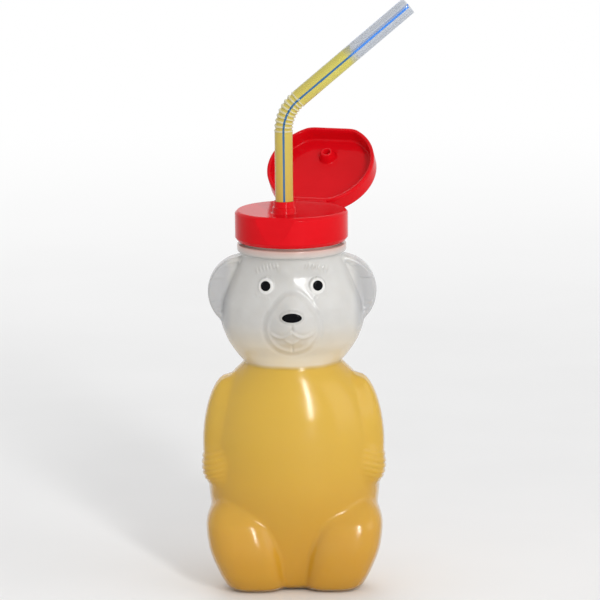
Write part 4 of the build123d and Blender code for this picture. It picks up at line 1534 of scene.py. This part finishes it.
class BEAR_OT_straw(bpy.types.Operator):
    """Adds the straw's three stretches and the drink that stands in them"""
    bl_idname = "bear.straw"
    bl_label = "Straw"

    def execute(self, context):
        sizes = sizes_of("bear_straw_sizes")
        material, inside = straw_material(sizes), bore_material()
        foot = STRAW_FOOT - PLEATS_BOTTOM
        start, end = BELLOWS_BOTTOM - PLEATS_BOTTOM, BEND_LENGTH + PLAIN_END
        pleats = np.linspace(0, BEND_LENGTH, PLEAT_ROWS * PLEATS + 1)
        plain_ends = np.linspace(start, -PLEAT_GAP, 8), np.linspace(BEND_LENGTH + PLEAT_GAP, end, 8)
        stretches = (
            ("straw_tube_lower", "straw_lower", np.linspace(foot, start, 40), (True, False)),
            ("straw_tube_bend", "straw_bellows",
             np.concatenate((plain_ends[0], pleats, plain_ends[1])), (False, False)),
            ("straw_tube_upper", "straw_upper",
             np.linspace(end, BEND_LENGTH + UPPER_LENGTH, 24), (False, True)),
        )
        for name, node, distance, rounds in stretches:
            pleated = (distance >= 0) & (distance <= BEND_LENGTH)
            outer = np.where(pleated, pleat_radius(distance), STRAW_RADIUS)
            bore = np.where(pleated, outer - PLEAT_WALL, STRAW_BORE)
            tube, rows = straw_tube(name, *rounded_ends(distance, outer, bore, rounds))
            tube.data.materials.append(material)
            line_inside(tube, STRAW_COLUMNS, rows - 1, 2 * rows, inside)
            self.dress(tube, node)
        self.pour(np.linspace(foot + 0.3, start, 12), "straw_drink_lower", "straw")
        self.pour(np.linspace(start, end, 40), "straw_drink_bend", None)
        top = np.linspace(end, BEND_LENGTH + STRAW_DRINK_TOP, 12)
        self.pour(top, "straw_drink_upper", "straw_end", slant=DRINK_SLANT)
        return {"FINISHED"}

    def dress(self, tube, node):
        """Hides the CAD node of one stretch of the straw and sets its body."""
        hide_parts(node)
        self.join(tube, {"straw_lower": "straw", "straw_upper": "straw_end"}.get(node))

    def join(self, piece, body):
        """Rides on a body, or with none stays where it is, its place baked into its mesh."""
        if body:
            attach(piece, body)
            return
        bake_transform(piece)

    def pour(self, distance, name, body, slant=0.0):
        """Column of drink inside the straw between two distances, its end cut at a slant."""
        pleated = (distance > 0.0) & (distance < BEND_LENGTH)
        radius = np.where(pleated, PLEAT_ROOT - PLEAT_WALL - 0.03, STRAW_DRINK_RADIUS)
        rings = straw_rings(distance, radius, 48)
        direction = np.array((math.sin(BEND_TURN), 0.0, math.cos(BEND_TURN)))
        lean = (rings[-1, :, 0] - rings[-1, :, 0].mean()) * -slant
        rings[-1] += lean[:, None] * direction
        column = closed_rings(name, rings)
        column.data.materials.append(bpy.data.materials["cloudy_yellow_drink"])
        self.join(column, body)


# Lamps: name, place, and width and height, in metres
LAMPS = (
    ("key", (0.40, -1.1, 0.62), (0.10, 0.80)),
    ("fill", (0.95, -0.40, 0.45), (0.7, 0.7)),
    ("back", (-0.15, 0.85, 0.85), (0.7, 0.7)),
)
LAMP_TARGET = Vector((0.0, 0.0, 0.1))


class BEAR_OT_stage(bpy.types.Operator):
    """Adds the pale floor, the soft lamps, the world and the camera"""
    bl_idname = "bear.stage"
    bl_label = "Stage"

    def execute(self, context):
        sizes = sizes_of("bear_stage_sizes")
        half = sizes.floor_half / MM
        corners = np.array(((-half, -half, 0), (half, -half, 0), (half, half, 0), (-half, half, 0)))
        floor = make_mesh("floor", corners, (np.array(((0, 1, 2, 3),)),))
        floor.data.materials.append(floor_material(sizes))
        for name, place, size in LAMPS:
            self.lamp(name + "_lamp", place, size, getattr(sizes, name + "_power"))
        self.world(sizes)
        self.camera(sizes)
        context.scene.view_settings.view_transform = "Standard"
        return {"FINISHED"}

    def lamp(self, name, place, size, power):
        """Soft lamp of a width and a height that looks at the middle of the bottle."""
        light = bpy.data.lights.new(name, "AREA")
        light.shape = "RECTANGLE"
        light.size, light.size_y = size
        light.energy = power
        lamp = bpy.data.objects.new(name, light)
        bpy.context.scene.collection.objects.link(lamp)
        lamp.location = place
        lamp.rotation_euler = (LAMP_TARGET - Vector(place)).to_track_quat("-Z", "Y").to_euler()

    def world(self, sizes):
        """Even light, seen as white by the camera, in gloss and through clear plastic."""
        n = Nodes(bpy.data.worlds.new("even_light"), "ShaderNodeOutputWorld")
        even = n.shader("Background", {"Color": WHITE, "Strength": sizes.world_strength})
        white = n.shader("Background", {"Color": WHITE, "Strength": 1.0})
        bpy.context.scene.world = n.finish(n.layer(n.seen_plainly(), even, white))

    def camera(self, sizes):
        """Camera at the photograph's angle, its scale set at the bottle's axis."""
        data = bpy.data.cameras.new("camera")
        camera = bpy.data.objects.new("camera", data)
        bpy.context.scene.collection.objects.link(camera)
        bpy.context.scene.camera = camera
        shown = IMAGE_SIDE / PIXELS_PER_MM * MM
        data.lens = data.sensor_width * sizes.camera_distance / shown
        level = math.cos(sizes.elevation)
        back = Vector((math.sin(sizes.azimuth) * level, -math.cos(sizes.azimuth) * level,
                       math.sin(sizes.elevation)))
        right = Vector((math.cos(sizes.azimuth), math.sin(sizes.azimuth), 0.0))
        target = Vector((0.0, 0.0, sizes.aim_height)) + right * sizes.aim_side
        data.clip_start, data.clip_end = 0.01, 60.0
        turned = (-back).to_track_quat("-Z", "Y").to_matrix().to_4x4()
        camera.matrix_world = (Matrix.Translation(target + back * sizes.camera_distance)
                               @ turned @ Matrix.Rotation(-sizes.roll, 4, "Z"))


class BEAR_PT_panel(bpy.types.Panel):
    """Buttons for each piece, and their sizes and colours"""
    bl_idname = "BEAR_PT_panel"
    bl_label = "Bear Bottle"
    bl_space_type = "VIEW_3D"
    bl_region_type = "UI"
    bl_category = "Bear Bottle"

    def draw(self, context):
        for group, operators in PANEL_ROWS:
            box = self.layout.box()
            for operator in operators:
                box.operator(operator.bl_idname)
            sizes = getattr(context.scene, group)
            for key in sizes.__annotations__:
                box.prop(sizes, key)


GROUPS = {
    "bear_bottle_sizes": BottleSizes,
    "bear_cap_sizes": CapSizes,
    "bear_straw_sizes": StrawSizes,
    "bear_stage_sizes": StageSizes,
}
PANEL_ROWS = (
    ("bear_bottle_sizes", (BEAR_OT_bottle, BEAR_OT_drink, BEAR_OT_print)),
    ("bear_cap_sizes", (BEAR_OT_cap, BEAR_OT_lid)),
    ("bear_straw_sizes", (BEAR_OT_straw,)),
    ("bear_stage_sizes", (BEAR_OT_stage,)),
)
OPERATORS = [operator for _, operators in PANEL_ROWS for operator in operators]


def register():
    """Registers the groups, operators and panel, and hangs the groups on the scene."""
    for group in (*GROUPS.values(), *OPERATORS, BEAR_PT_panel):
        bpy.utils.register_class(group)
    for name, group in GROUPS.items():
        setattr(bpy.types.Scene, name, PointerProperty(type=group))


def unregister():
    """Takes away what register added."""
    for name in GROUPS:
        delattr(bpy.types.Scene, name)
    for group in reversed((*GROUPS.values(), *OPERATORS, BEAR_PT_panel)):
        bpy.utils.unregister_class(group)


def main():
    """Makes every piece."""
    register()
    bpy.ops.bear.stage()
    bpy.ops.bear.bottle()
    bpy.ops.bear.drink()
    bpy.ops.bear.print()
    bpy.ops.bear.cap()
    bpy.ops.bear.lid()
    bpy.ops.bear.straw()


if __name__ == "__main__":
    main()
